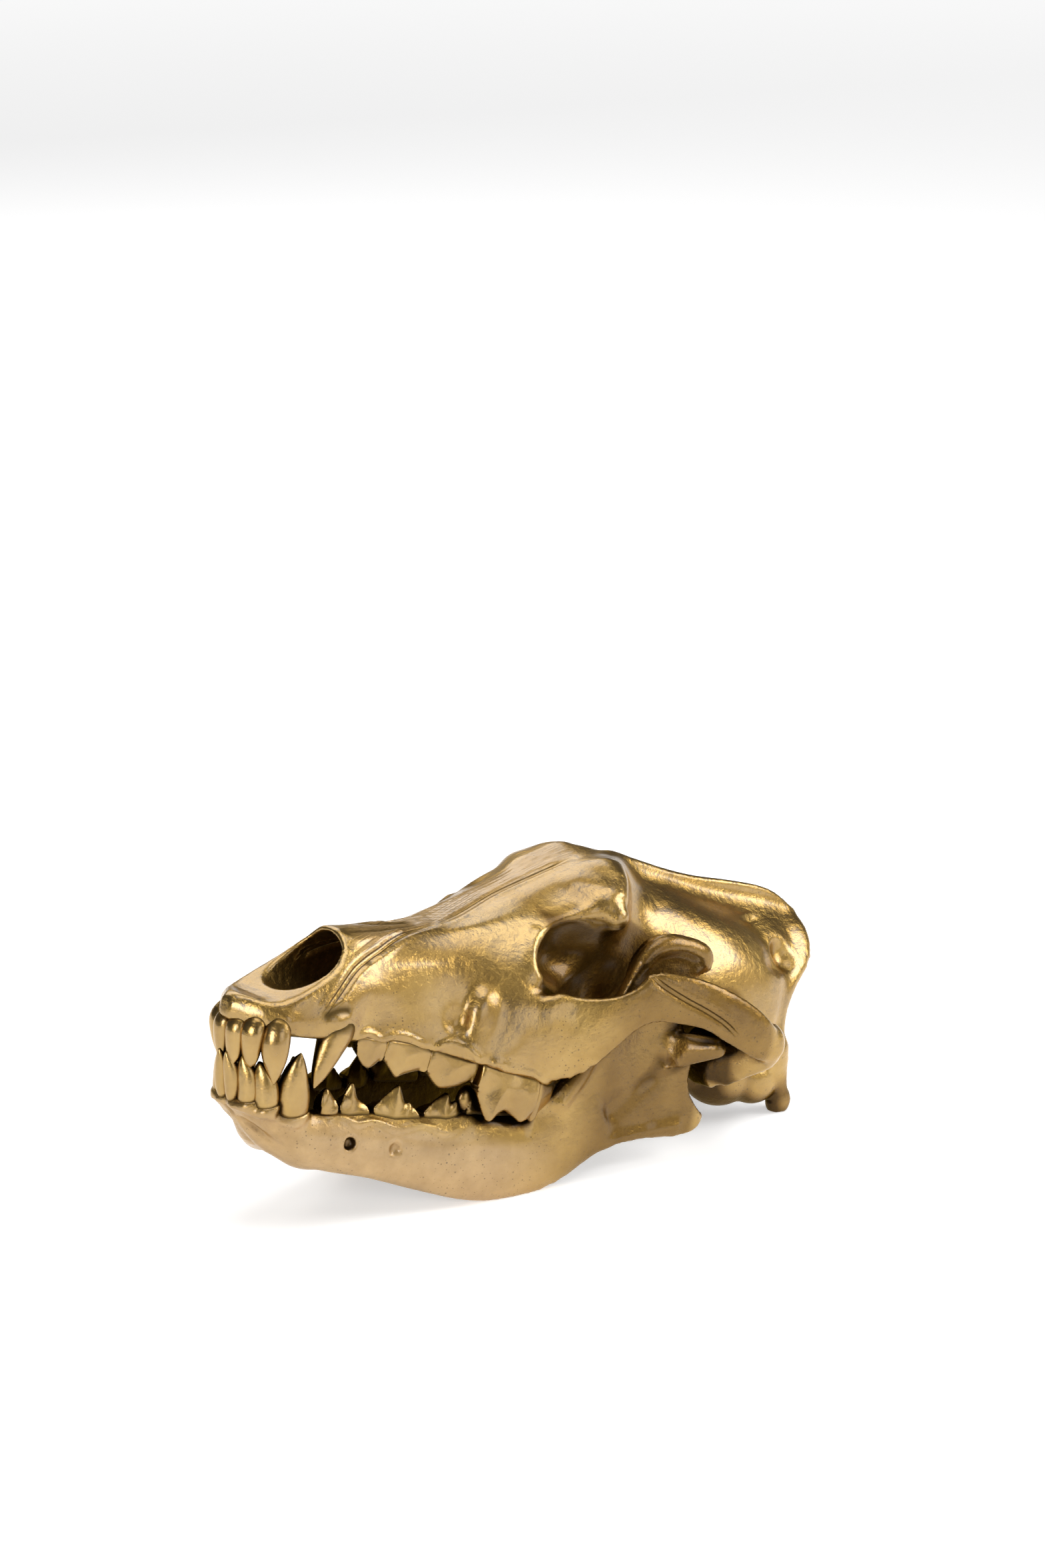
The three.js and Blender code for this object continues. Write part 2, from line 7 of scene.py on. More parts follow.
import bpy
import numpy as np
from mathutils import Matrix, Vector


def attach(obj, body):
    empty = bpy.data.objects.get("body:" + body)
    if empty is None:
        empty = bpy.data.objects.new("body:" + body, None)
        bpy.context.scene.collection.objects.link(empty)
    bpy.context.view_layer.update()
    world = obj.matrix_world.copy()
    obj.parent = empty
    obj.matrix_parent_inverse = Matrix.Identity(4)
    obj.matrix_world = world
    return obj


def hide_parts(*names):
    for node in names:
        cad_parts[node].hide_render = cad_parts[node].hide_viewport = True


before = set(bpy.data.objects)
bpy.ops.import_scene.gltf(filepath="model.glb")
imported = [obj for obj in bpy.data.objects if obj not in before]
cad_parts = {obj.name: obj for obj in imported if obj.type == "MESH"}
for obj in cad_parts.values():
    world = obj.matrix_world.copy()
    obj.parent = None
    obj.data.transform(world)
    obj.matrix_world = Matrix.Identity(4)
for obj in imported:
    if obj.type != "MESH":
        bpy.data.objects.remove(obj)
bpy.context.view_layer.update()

# Where the skull's own axes stand in the row frame
REST_PITCH = math.radians(16.8)
FLOOR_DROP = 78.8
MIDDLE_BACK = 133.157
PITCH_COS, PITCH_SIN = math.cos(REST_PITCH), math.sin(REST_PITCH)

# Grid steps of the fields
CRANIUM_CELL = 1.08
JAW_CELL = 0.9
TOOTH_CELL = 0.42
SHADE_CELL = 2.5
FAR = 40.0

# Left half of each cross-section of the cranium, at its distance y behind the front of the upper jaw: pairs
# of x and z from the middle of the top to the middle of the palate
SECTIONS = {
    -5: [(0, 12), (1.4, 11.8), (2.3, 11.2), (3, 10.2), (3.2, 9), (3, 7), (2.4, 5.6), (1.4, 5), (0, 5)],
    -2: [(0, 15), (3.2, 14.4), (5, 13), (6, 11.2), (6.6, 9), (6.4, 6.5), (5, 4.5), (2.6, 3.6), (0, 3.6)],
    3: [(0, 19), (5.4, 18), (9.2, 15.6), (11.6, 12.6), (12.8, 9.5), (12.8, 6), (10.6, 3.2), (5.4, 2), (0, 2)],
    10: [(0, 24), (6.6, 23), (11.6, 20), (15.2, 15.5), (17.2, 10), (17.6, 6), (15, 2.8), (6.6, 1.5), (0, 2)],
    20: [(0, 32), (7, 31), (12.5, 27.5), (16.5, 21.5), (19, 14), (20, 8), (18.5, 3.2), (9, 3), (0, 4)],
    32: [(0, 39.8), (5.5, 39.2), (10.5, 35.2), (15, 29.6), (19.5, 21), (22, 12), (21, 4), (11, 4), (0, 5)],
    45: [(0, 42.2), (5.5, 41.5), (11, 37.5), (16, 31), (20, 23), (21, 13), (21, 4), (11, 4.5), (0, 6)],
    60: [(0, 43.5), (6, 43), (12, 39.5), (18, 33.5), (21, 25.5), (23, 14), (23.5, 4), (13, 5), (0, 7)],
    75: [(0, 46), (7, 45.7), (13, 43), (20, 36.5), (24, 27.5), (27, 16), (28, 4), (16, 6), (0, 8)],
    90: [(0, 50.2), (8, 49.9), (15, 48.5), (23, 41), (29, 31), (34, 18), (36.5, 3), (20, 6), (0, 8)],
    105: [(0, 56.2), (9, 56.2), (18, 54), (28, 46), (35, 35), (40.5, 20), (40.5, 1.5), (22, 6), (0, 8)],
    120: [(0, 64), (10, 64), (21, 60.4), (29, 56.5), (31, 42), (33, 26), (36.5, 0.5), (20, 4), (0, 8)],
    133: [(0, 71.6), (12, 72), (23, 68.2), (30, 62), (26, 47), (23, 32), (26, 6), (14, 5), (0, 9)],
    147: [(0, 78.2), (14, 79.4), (25.6, 74.4), (30, 64.5), (24, 51), (19, 36), (15, 20), (11, 14), (0, 14)],
    160: [(0, 80), (9, 79), (16.6, 72.4), (21, 61), (21, 48), (20, 36), (18, 24), (12, 18), (0, 16)],
    174: [(0, 76), (5, 73.5), (14, 67), (21, 58), (24, 46), (24, 34), (20, 24), (12, 18), (0, 16)],
    190: [(0, 73), (6, 70.5), (18, 64), (27, 54), (33, 42), (33, 30), (27, 20), (14, 15), (0, 13)],
    208: [(0, 70.5), (7, 67.5), (21, 61), (30, 51), (35, 39), (36, 27), (31, 16), (16, 11), (0, 10)],
    225: [(0, 69), (8, 65), (20, 58), (29, 48), (34, 37), (36, 26), (33, 15), (18, 8), (0, 7)],
    236: [(0, 68), (8, 63.5), (18, 56), (26, 46), (32, 35), (34.5, 25), (31, 14), (18, 7), (0, 6)],
    246: [(0, 66), (7, 62), (14, 54), (21, 44.5), (27, 34), (30, 24), (26, 13), (12, 7), (0, 7)],
}

# How far the tops of the last sections lean back, and their sides bow forwards up to a half width
LEAN_AND_BOW = {236: (0.16, 0.006), 246: (0.24, 0.012)}
BOWED_HALF_WIDTH = 34
BODY_HALF_WIDTH = 48

# Rods of oval section: x, y, z, half thickness and half height at each station
ARCH = [
    (30, 97, 17, 3, 11), (38.5, 110, 15.5, 5, 15.5), (43, 119.5, 17.5, 4.4, 16.5), (47.5, 127, 23, 3.6, 13.5),
    (53, 136.5, 32, 3, 10), (57, 145, 37.5, 2.7, 9.6), (61.5, 155.5, 39, 2.6, 9.4), (66, 169, 37.8, 2.7, 8.7),
    (68.5, 183, 33, 2.9, 8.6), (69.5, 195, 27.8, 3.4, 7.4), (64, 204, 25.5, 5, 6), (52, 207, 26, 7, 6),
    (38, 205, 28, 8, 8),
]
NUCHAL_CREST = [
    (0, 258.5, 64, 2.4, 5.6), (8, 258.4, 60.5, 2.2, 5.6), (15, 256.8, 53, 2.2, 5.6),
    (21.5, 247.5, 44, 2.2, 5.2), (27, 240.5, 34, 2.4, 4.6), (31, 238.5, 23, 2.8, 4.4), (32.5, 240, 13, 4, 4),
]
HINGE_ROOF = [(28, 192, 31, 13, 5), (48, 192.5, 31, 12.5, 4.6), (64, 193, 30, 9, 4)]
HINGE_SPUR = [
    (36, 192, 15, 4, 10), (46.5, 193.5, 13.6, 4, 10.4), (54.5, 198.5, 19, 4.4, 9.6), (62, 203, 24, 5, 8.6),
    (66.5, 202.5, 27.5, 4.6, 7),
]
POSTORBITAL = [(16, 137, 66, 7, 6), (25, 140.6, 65.2, 6.8, 6.6), (31.4, 142.8, 61.4, 4.8, 5)]
PAROCCIPITAL = [
    (31, 238, 16, 7, 8), (31.6, 243, 7.4, 4.6, 5), (31.2, 246.6, 1.4, 3.8, 4), (30.8, 248.6, -2.6, 4.9, 5),
    (30.4, 249.6, -6.2, 3.6, 4),
]
CANINE_SWELLING = [(18.7, 30.6, 10.4, 4.4, 8.6), (17.2, 36, 18, 3, 6.4), (14.5, 44, 28, 2, 4)]
TUBER = [(36, 110, 3, 4, 4), (36.5, 118, 0.6, 4.4, 5), (34.4, 127, 1.4, 4, 5)]
PTERYGOID = [
    (124, 9), (150, 20), (176, 22), (182, 14), (178, 4), (172, 3), (166, 8), (150, 7), (134, 1), (124, 0.5),
]
CREST = [
    (150, 72), (158, 78), (163, 80.4), (176, 79), (190, 77), (206, 75.6), (226, 75.4), (242, 74.6),
    (252, 72.4), (260, 68), (262.5, 63), (257, 52), (240, 52), (200, 58), (170, 64),
]
ABOVE_NOSE_RIM = [
    (-30, 20), (-6, 14.2), (5.4, 13.8), (10, 15.3), (16, 18.6), (22, 22.5), (27, 26.3), (31, 30.5), (34, 35),
    (34.5, 38), (34.5, 70), (-30, 70),
]
NOSE_HOLLOW = [
    (0, 14, 22.5, 10, 5), (0, 20, 24, 11.8, 9), (0, 28, 25.5, 12.8, 12), (0, 40, 26, 12.4, 13.5),
    (0, 54, 26, 11, 13), (0, 72, 26, 7, 9),
]
THROAT = [(0, 118, 21, 5, 3), (0, 128, 15, 8, 7), (0, 146, 10, 9, 9), (0, 168, 6, 9, 8), (0, 184, 3, 9, 6)]
SPINAL_HOLE = [(0, 226, 25, 9, 7.5), (0, 268, 22, 11, 9.5)]

# Egg shapes on the cranium: centre and radii
EAR_BULGE = ((24, 220, 4), (12.5, 15, 12.5))
EAR_BULGE_REAR = ((29, 234, 4), (8, 12, 9.6))
NECK_KNOB = ((13, 250, 14), (6.5, 7.5, 9.5))
NECK_HOLLOW = ((22, 244.5, 54), (6.5, 6, 7.5))
ORBIT = ((43, 126, 48), (21, 20.5, 14))
ORBIT_DEPTH = ((36, 130, 43), (17, 22, 12))
CHEEK_HOLLOW = ((35, 78.5, 21), (6.5, 8, 10))
CHEEK_SWELLING = ((30.6, 89, 18), (3.8, 5.5, 10))
CHEEK_DIMPLE = ((30, 79, 17), (2.6, 3.2, 4))
EAR_HOLE = ((38.5, 214, 13), (6, 4, 4))

# The jaw in the same way: its rods and outline, then its hollows
JAW = [
    (12.4, 33, -34.9, 8.4, 10.5), (16.5, 46, -34.1, 6.8, 12.1), (20.5, 62, -34.1, 6, 12.5),
    (25.5, 80, -34.4, 6, 14.2), (30, 97, -33.4, 6.6, 16.6), (33, 112, -32.4, 6.6, 16.4),
    (35.2, 125, -29.2, 6, 15.2), (37.6, 136, -22, 4.6, 14), (39.4, 148, -14.5, 3.6, 11.5),
]
JAW_RIM = [
    (2, 7.5, -25.3, 3, 2.6), (6.5, 12, -26.8, 3.7, 3.7), (11.2, 18, -29, 4.4, 5), (13.6, 26, -31.4, 5, 6.6),
    (14, 36, -33, 5.6, 8),
]
CHIN = [(1, 13, -30, 3, 3.4), (2.4, 18.5, -33.6, 4.6, 4.8), (5.4, 26, -37.4, 6.6, 6), (11, 36, -39.6, 7, 6.4)]
RAMUS = [
    (120, -38), (132, -36.4), (140, -31), (148, -26), (156, -22.4), (166, -19.3), (177, -17), (188, -15.4),
    (193, -12.5), (194, -8), (190, -3.5), (186, 1), (184, 7), (184, 13), (181, 19), (177, 24), (174.5, 29),
    (174.5, 36), (177, 44), (180, 51), (177, 55.5), (168, 57.4), (159, 57.2), (153, 53), (148, 43),
    (143.5, 29), (137.5, 15), (132, 4), (126, -5), (118, -12),
]
CONDYLE = [
    (42.5, 163, 12, 2.4, 6.6), (46, 170, 15.4, 3.2, 7.2), (50, 175.4, 18, 3.9, 6.2),
    (54.6, 179.4, 19.8, 4.2, 5), (59, 182.2, 21.4, 3.7, 3.9),
]
ANGULAR = [
    (42.5, 174, -12, 2.6, 5.4), (43.6, 184, -10.6, 3, 5), (44.2, 190, -9.8, 2.8, 4),
    (43.8, 195.6, -8.8, 1.8, 2),
]
JAW_HOLLOW = ((50.5, 157, 18), (9.4, 15, 23))
NERVE_HOLE_FRONT = ((23.4, 47.4, -33.6), (3, 2.3, 2.5))
NERVE_HOLE_REAR = ((28, 65.4, -33.4), (2.2, 2.2, 2.4))

# Lines in the surface: reach to each side, rise (negative for a groove), and where it runs. Sutures have
# raised edges as well. Each line is on both sides, apart from those named in ONE_SIDED.
CRANIUM_LINES = {
    "muzzle_suture": (1.4, -0.9, [
        (20.5, 23, 11.5), (19.7, 29, 20), (16.4, 37, 29), (14.3, 43.5, 33.5), (12.5, 50, 37), (10.2, 56, 40),
        (8.2, 62, 42.3), (6.4, 69.5, 44.5), (5.4, 81, 47.5)]),
    "brow_suture": (1.4, -0.7, [
        (5.4, 81, 47.5), (0, 97, 52.6), (-3.2, 109, 58), (-3.2, 119, 63.6), (-2.2, 125, 67.4),
        (-1, 132, 71.6), (0, 143, 76.5)]),
    "nasal_ridge": (1.8, 0.5, [(8.5, 37, 38), (8.6, 47, 40), (7.2, 57, 42.4), (5.6, 66, 44)]),
    "nasal_groove": (1.3, -0.6, [(4.6, 36, 40), (4.4, 50, 42), (3.2, 62, 43.6), (1.4, 76, 46.2)]),
    "canine_crevice": (1.6, -0.7, [(20.5, 23, 11.5), (20.8, 30, 14.6), (20.6, 35, 15)]),
    "arch_suture": (1.5, -0.9, [
        (57, 142.7, 46), (61, 148, 42.8), (64.4, 156, 39.5), (67.7, 165.5, 36.3), (69.6, 174, 32.8),
        (70.6, 180.5, 28.8)]),
    "temple_line": (4, 0.8, [(31, 144, 67), (27, 145.5, 71), (20, 149, 75.5), (12, 154, 78)]),
    "orbit_rim": (2.8, 1.1, [
        (34, 111, 34), (33.4, 107, 39.3), (29, 107.4, 47.5), (25, 112, 54.7)]),
    "crest_hollow": (6, -1.5, [(9.6, 231, 65), (13.6, 232.8, 61), (21, 236, 53.6), (27, 235, 44)]),
    "gum_front": (1.2, 1.1, [
        (21.1, 40, 5), (22.2, 45.5, 7.6), (22.8, 51.4, 5.8), (24, 57.5, 8.4), (25.4, 64.6, 7.4),
        (27, 71, 4.6)]),
    "gum_middle": (1.2, 1.1, [(27, 72, 4.6), (29.5, 76.7, 8), (32, 81, 8.4), (34.2, 85, 7),
        (35.4, 91, 2.4)]),
    "gum_rear": (1.2, 1.1, [
        (36, 92, 3), (37.9, 95, 4.6), (39, 100, 3.4), (40.5, 106.6, 2.8), (41.6, 111, 2), (41, 116, 1),
        (38.4, 122, 0)]),
}
JAW_LINES = {
    "gum_chin": (1.2, 0.9, [
        (2, 3.4, -26), (5, 4.4, -27.4), (9.5, 7, -26.6), (13, 9.4, -28), (16, 12.4, -26.8), (18.4, 17, -29),
        (19.8, 23, -29.4), (20, 28, -27)]),
    "gum_side": (1.3, 0.8, [
        (20.5, 36, -23.8), (20.4, 39, -25), (21.5, 43, -23.6), (22.6, 49, -25.8), (24, 56, -23.8),
        (26, 65, -26), (28.4, 75, -23.2), (30.6, 84, -25), (33, 92, -22)]),
    "ramus_trough": (5.5, -1.7, [(49, 171, 14), (45.8, 166, 6), (43.7, 158, -4), (43, 149.7, -13)]),
    "ramus_ridge": (3.2, 2.3, [(41.5, 146, 34), (41, 139.5, 18), (40.8, 135.5, 4), (40, 131.5, -5),
        (38.5, 127, -12)]),
    "coronoid_rim": (3.2, 2.7, [
        (42, 147.5, 40), (42.8, 153, 51), (44, 160, 55), (45, 169, 55.4), (46, 176, 52.6), (46, 177, 46)]),
    "jaw_edge": (2.6, 1.2, [(42, 150, -23), (44, 165, -17.6), (46, 177, -14), (46.4, 186, -12)]),
}
ONE_SIDED = ("brow_suture",)

# The suture as the furrows beside it follow it, as y and x
STRIP_SUTURE = [(37, 16.4), (50, 12.5), (62, 8.2), (81, 5.4), (97, 0), (109, -3.2), (143, 0)]

# Rows of pegs: the row's turn away from +Y in degrees, then x, y, z and half width across and along the row
PEGS = {
    "upper_incisor_1": (80, [
        (3.4, 5, 9, 2, 2.2), (3.8, 1, 5.4, 2.8, 3.6), (3.8, -0.6, 1.5, 3.6, 4.2), (3.8, 0, -3.5, 3, 3.8),
        (3.7, 0.7, -8, 1.9, 2.9), (3.6, 1, -11.8, 0.5, 0.9)]),
    "upper_incisor_2": (62, [
        (8.4, 8, 10, 2.4, 2.6), (9.6, 3.8, 6.6, 3, 3.8), (10.1, 2.2, 2, 3.9, 4.7), (9.9, 3, -3.4, 3.1, 4),
        (9.6, 4.1, -8, 1.9, 2.9), (9.5, 4.7, -10.9, 0.5, 0.9)]),
    "upper_incisor_3": (42, [
        (12.6, 14, 11, 3, 3.4), (14.6, 9.4, 6.8, 3.6, 4.6), (15.7, 8.6, 1, 4.3, 5.4),
        (16.1, 9.5, -5, 3.6, 4.7), (16.1, 11, -10.6, 2, 2.7), (16, 11.7, -14.8, 0.5, 0.8)]),
    "upper_canine": (8, [
        (16.4, 38, 17, 2.4, 4), (17, 35.4, 12, 4.4, 6), (18.2, 33.2, 7.5, 5.7, 6.9),
        (18.9, 31.6, 2, 4.8, 5.8), (19.4, 29.9, -4, 3.6, 4.5), (19.7, 28.4, -9.6, 2.3, 2.9),
        (19.8, 27.5, -14.2, 0.6, 0.7)]),
    "lower_incisor_1": (84, [
        (2.6, 11, -27, 2.2, 1.6), (2.7, 6.6, -23.6, 3.3, 2.7), (2.9, 4.6, -19, 3.6, 3.4),
        (2.6, 2.5, -14, 3.1, 3.2), (2.2, 0.2, -10.4, 1.8, 1.9), (2.1, -1.3, -8.2, 0.6, 0.6)]),
    "lower_incisor_2": (64, [
        (6.8, 14, -28, 2.4, 2), (7.6, 9.6, -24.4, 3.8, 4), (7.6, 8, -19, 4, 4.4), (7.1, 6, -14, 3.3, 3.9),
        (6.4, 4, -10, 1.9, 2), (6.2, 3, -7.9, 0.6, 0.6)]),
    "lower_incisor_3": (46, [
        (11, 18, -29, 2.8, 2.2), (12.2, 14, -25, 4.2, 4.6), (12.3, 12.6, -19.6, 4.4, 5),
        (11.8, 10.7, -14.4, 3.6, 4.4), (11.1, 8.7, -10.8, 2, 2.2), (10.8, 7.6, -8.8, 0.6, 0.6)]),
    "lower_canine": (14, [
        (13, 27, -33, 2.8, 4), (14.4, 24.4, -27, 4.6, 6), (15.4, 22.4, -20.6, 5.4, 6.7),
        (16.5, 20.6, -13.5, 4.6, 5.4), (17.8, 19.3, -7.4, 2.8, 3.3), (18.8, 19, -2.8, 0.6, 0.6)]),
}

# Heights of the gum lines of the pegs
GUM_LINES = {
    "upper_incisor_1": 5, "upper_incisor_2": 6.2, "upper_incisor_3": 6.6,
    "lower_incisor_1": -23, "lower_incisor_2": -22, "lower_incisor_3": -22, "lower_canine": -24.6,
}

# Blade-like teeth: the row's middle at two places as x and y, height of the neck, lean outwards for each
# millimetre of height, half the width, how deep the taper to the edge reaches, and the outline as y and z
BLADES = {
    "upper_premolar_1": ((18.9, 41), (20.2, 54), 4, -0.17, 3.3, 4.6, [
        (42.5, 12), (41, 6), (41.6, 2.6), (43.4, -1), (46.2, -4.2), (48.9, -5.4), (51.4, -4.2), (53.2, -2.6),
        (54.5, -1.4), (54.8, 6), (53, 12)]),
    "upper_premolar_2": ((20.2, 54), (23.4, 72.6), 4, -0.15, 3.7, 5, [
        (55, 13), (53.9, 6), (54.1, -0.8), (56.4, -2.8), (59, -5.6), (61.2, -7.6), (63.4, -6.6), (66.4, -5.4),
        (70, -4.2), (72.9, -3.4), (73.3, 6), (72, 13)]),
    "upper_premolar_3": ((23.4, 72.6), (28.6, 91.6), 3.6, -0.17, 4.1, 5.4, [
        (73.4, 12), (72.4, 5), (72.5, -3), (74.4, -5.2), (77, -8), (79.4, -9.3), (82.4, -9), (85.2, -8.2),
        (88, -7), (90.6, -5.8), (92.4, -5.2), (92.6, 5), (91, 12)]),
    "upper_premolar_4": ((31, 91.6), (37, 114.4), 2, -0.2, 5, 6.4, [
        (92.6, 10), (91.2, 3), (91.2, -5.6), (92.6, -9), (94.6, -13.6), (96.6, -17.4), (98.2, -18.4),
        (99.8, -17.4), (102.2, -14.8), (104.8, -13.7), (107.6, -15.2), (110.4, -17), (112.8, -16),
        (114.6, -14), (115, -3), (114.6, 3), (112, 10)]),
    "upper_molar_1": ((37.2, 114.4), (34.2, 124), 0, -0.12, 5, 5, [
        (115, 6), (114, 0), (113.9, -12), (114.6, -15.4), (116.4, -17), (118.2, -16), (120, -13.8),
        (121.8, -12.8), (123.4, -12), (124.6, -10), (124.8, 0), (123.6, 6)]),
    "upper_molar_2": ((33.4, 124.4), (31, 130.6), 0, -0.1, 4.6, 3.6, [
        (125, 6), (124.2, 0), (124.4, -8), (125.6, -10), (127, -10.4), (128.8, -9.2), (130.2, -7), (131, -4),
        (131, 0), (130, 6)]),
    "lower_premolar_1": ((15.4, 34.4), (16.6, 42.2), -22.8, 0.04, 2.9, 4, [
        (35.6, -29), (34.6, -23), (34.4, -18.4), (35.2, -15.8), (36.6, -15), (38.4, -16.2), (40.6, -18.4),
        (42, -20.4), (42.4, -23), (41, -29)]),
    "lower_premolar_2": ((16.4, 42.6), (19, 55), -22.6, 0.05, 3.4, 5.6, [
        (44.6, -30), (42.8, -23), (42.6, -20.4), (44.2, -16.6), (45.6, -12.6), (46.6, -11.9), (47.8, -13.2),
        (49.6, -16.8), (51.6, -18.4), (53.4, -19), (55, -21), (55.2, -23), (53, -30)]),
    "lower_premolar_3": ((18.6, 56.6), (23.6, 75), -22, 0.06, 3.7, 6.4, [
        (59, -30), (56.8, -22.6), (56.6, -19.8), (59.6, -17), (62.6, -13.2), (64.4, -10.9), (65.6, -10.7),
        (67.2, -13.4), (69.2, -16.6), (71, -16.4), (72.6, -17.6), (74.8, -20.2), (75.2, -22.6), (73, -30)]),
    "lower_premolar_4": ((23.2, 76.5), (28.4, 92.6), -20.8, 0.05, 3.9, 6.4, [
        (78.6, -29), (76.6, -21.4), (76.6, -18.6), (79.8, -15.8), (82.8, -12.4), (84.6, -11), (86, -12),
        (87.2, -14.2), (88.8, -13.5), (90, -15), (91.4, -17.2), (92.6, -18.8), (92.8, -21.4), (91, -29)]),
    "lower_molar_1": ((27.6, 92.8), (32.2, 118), -18, 0.03, 3.6, 6, [
        (95, -27), (92.8, -20), (93, -16.4), (94.8, -12), (97.2, -8.9), (98.6, -8.9), (100.6, -10.8),
        (102.4, -8.2), (104.4, -4.2), (105.8, -3.4), (107.4, -6.6), (109.4, -11), (112.4, -11.8),
        (115.6, -11.6), (117.6, -13.4), (118.2, -20), (116, -27)]),
    "lower_molar_2": ((32.8, 119.2), (34, 128.4), -16, -0.05, 3.4, 3, [
        (120.6, -23), (119.2, -17), (119.6, -13), (121.4, -10.9), (123.6, -11.6), (126, -11), (127.8, -12.8),
        (128.4, -17), (127, -23)]),
    "lower_molar_3": ((34.2, 129.2), (34.8, 133.6), -13, -0.05, 2.4, 2, [
        (130, -19), (129.2, -14), (129.8, -11), (131.4, -10.1), (133, -11), (133.8, -14), (133, -19)]),
}

# Further lumps of the broad teeth, as centre and radii
MORE_CUSPS = {
    "upper_premolar_4": [((31.4, 95.4, 1), (3.6, 3.6, 6)), ((36.8, 108.4, -6), (4.6, 6, 9))],
    "upper_molar_1": [
        ((28.6, 118.4, -0.4), (7, 5, 5)), ((36, 117.4, -7), (4, 3.6, 8.4)), ((35, 121.4, -6), (3.6, 3.2, 6))],
    "upper_molar_2": [((27.6, 127.6, -1), (4.6, 3.2, 4.6)), ((32.6, 127, -3.6), (3.8, 3.2, 5.4))],
    "lower_molar_1": [((29.6, 112.6, -14), (3.4, 4.6, 4)), ((26.5, 94.5, -13), (3, 4.5, 5.5))],
    "lower_molar_2": [((32.4, 123.6, -14.6), (3.2, 4, 3.4))],
}

# Steps outwards at which the room round a point is felt for the painted shade, with their weights
FEELERS = ((2.5, 0.8), (5, 0.9), (10, 1), (18, 1), (28, 0.8))

# Colours. The ramp of painted shade, partly also the dark patina of the hollows, goes by how far a place is
# shut in or turned away.
BRASS_DEEP, BRASS_MIDDLE, BRASS_PALE = (0.27, 0.155, 0.032), (0.37, 0.225, 0.055), (0.48, 0.31, 0.09)
TAN_DEEP, TAN_PALE = (0.36, 0.225, 0.085), (0.5, 0.33, 0.14)
SHADE_AND_PATINA_RAMP = [(0.21, (1, 1, 1)), (0.37, (0.46, 0.4, 0.3)), (0.55, (0.06, 0.046, 0.03))]
STAIN_COLOUR, PIT_COLOUR = (0.045, 0.03, 0.014), (0.07, 0.042, 0.016)
BLACK, WHITE = (0, 0, 0), (1, 1, 1)

CAMERA_PLACE = (1.39197, -1.12563, 0.70185)
CAMERA_BACK = (0.742, -0.601, 0.297)
CAMERA_LENS, SENSOR_WIDTH = 115.96, 36

# Lamps: place, width and height, and power, all turned to the middle of the skull
LAMPS = {
    "overhead": ((0.1, 0.1, 1.5), (1.2, 1.2), 13),
    "front": ((0.75, -1.7, 0.75), (0.8, 0.8), 18),
    "side": ((1.75, 0.05, 0.62), (1.0, 0.8), 5),
    "back": ((0.9, 1.3, 0.9), (1.1, 0.9), 20),
    "far": ((-1.4, 0.45, 1.05), (1.3, 1.0), 9),
}
LAMP_TARGET = (0, 0, 0.06)
WORLD_STRENGTH = 0.08
FLOOR_HALF = 14.0
FLOOR_COLOUR = (0.92, 0.92, 0.92)

# The floor's glow: distance from the middle of the skull and strength, where it starts and where it ends
GLOW_NEAR, GLOW_FAR = (1.0, 0.45), (4.0, 1.0)


def rising(value, start, width):
    """From 0 at the start to 1 a width further on, which may be negative."""
    return np.clip((value - start) / width, 0, 1)


def smooth_curve(points, steps):
    """Points along a Catmull-Rom curve through the given ones."""
    rows = np.asarray(points, float)
    rows = np.vstack([2 * rows[0] - rows[1], rows, 2 * rows[-1] - rows[-2]])
    out = []
    for i in range(1, len(rows) - 2):
        a, b, c, d = rows[i - 1:i + 3]
        for t in np.arange(steps) / steps:
            out.append(0.5 * (2 * b + (c - a) * t + (2 * a - 5 * b + 4 * c - d) * t ** 2
                              + (3 * b - a - 3 * c + d) * t ** 3))
    return np.array(out + [rows[-2]])


def soft_min(a, b, k):
    """The smaller of two, with the crease between them rounded over a width of k."""
    h = np.clip(0.5 + 0.5 * (b - a) / k, 0, 1)
    return b + (a - b) * h - k * h * (1 - h)


class Field:
    """Distance to a surface on a grid, negative inside. The half with x > 0 is filled in and mirrored."""

    def __init__(self, low, high, cell, halved=True):
        self.cell = cell
        self.low = np.array(low, float)
        if halved:
            self.low[0] = cell / 2
        counts = np.ceil((np.array(high, float) - self.low) / cell).astype(int) + 1
        self.axes = [self.low[i] + cell * np.arange(counts[i]) for i in range(3)]
        self.value = np.full(counts, FAR, np.float32)

    def window(self, low, high):
        """The part of the grid between two corners, as slices and as points."""
        cuts = []
        for axis, a, b in zip(self.axes, low, high):
            first = int(np.clip(np.searchsorted(axis, a) - 1, 0, len(axis) - 1))
            last = int(np.clip(np.searchsorted(axis, b) + 1, first + 1, len(axis)))
            cuts.append(slice(first, last))
        grid = np.meshgrid(*[axis[c] for axis, c in zip(self.axes, cuts)], indexing="ij")
        return tuple(cuts), np.stack(grid, -1).astype(np.float32)

    def add(self, shape, k, sign=1):
        low, high, distance = shape
        cuts, points = self.window(low - 2 * k - 2, high + 2 * k + 2)
        self.value[cuts] = sign * soft_min(sign * self.value[cuts], distance(points), k)

    def carve(self, shape, k):
        self.add(shape, k, -1)

    def whole(self):
        """Both halves, with the lowest corner of the grid."""
        low = np.array([-self.axes[0][-1], self.axes[1][0], self.axes[2][0]])
        return np.concatenate([self.value[::-1], self.value]), low


def egg_distance(offs, radii):
    """About how far outside an egg shape a place is, from how far off its middle it is along each axis."""
    scaled = np.sqrt(sum((off / radius) ** 2 for off, radius in zip(offs, radii)))
    slope = np.sqrt(sum((off / radius ** 2) ** 2 for off, radius in zip(offs, radii)))
    return scaled * (scaled - 1) / np.maximum(slope, 1e-3)


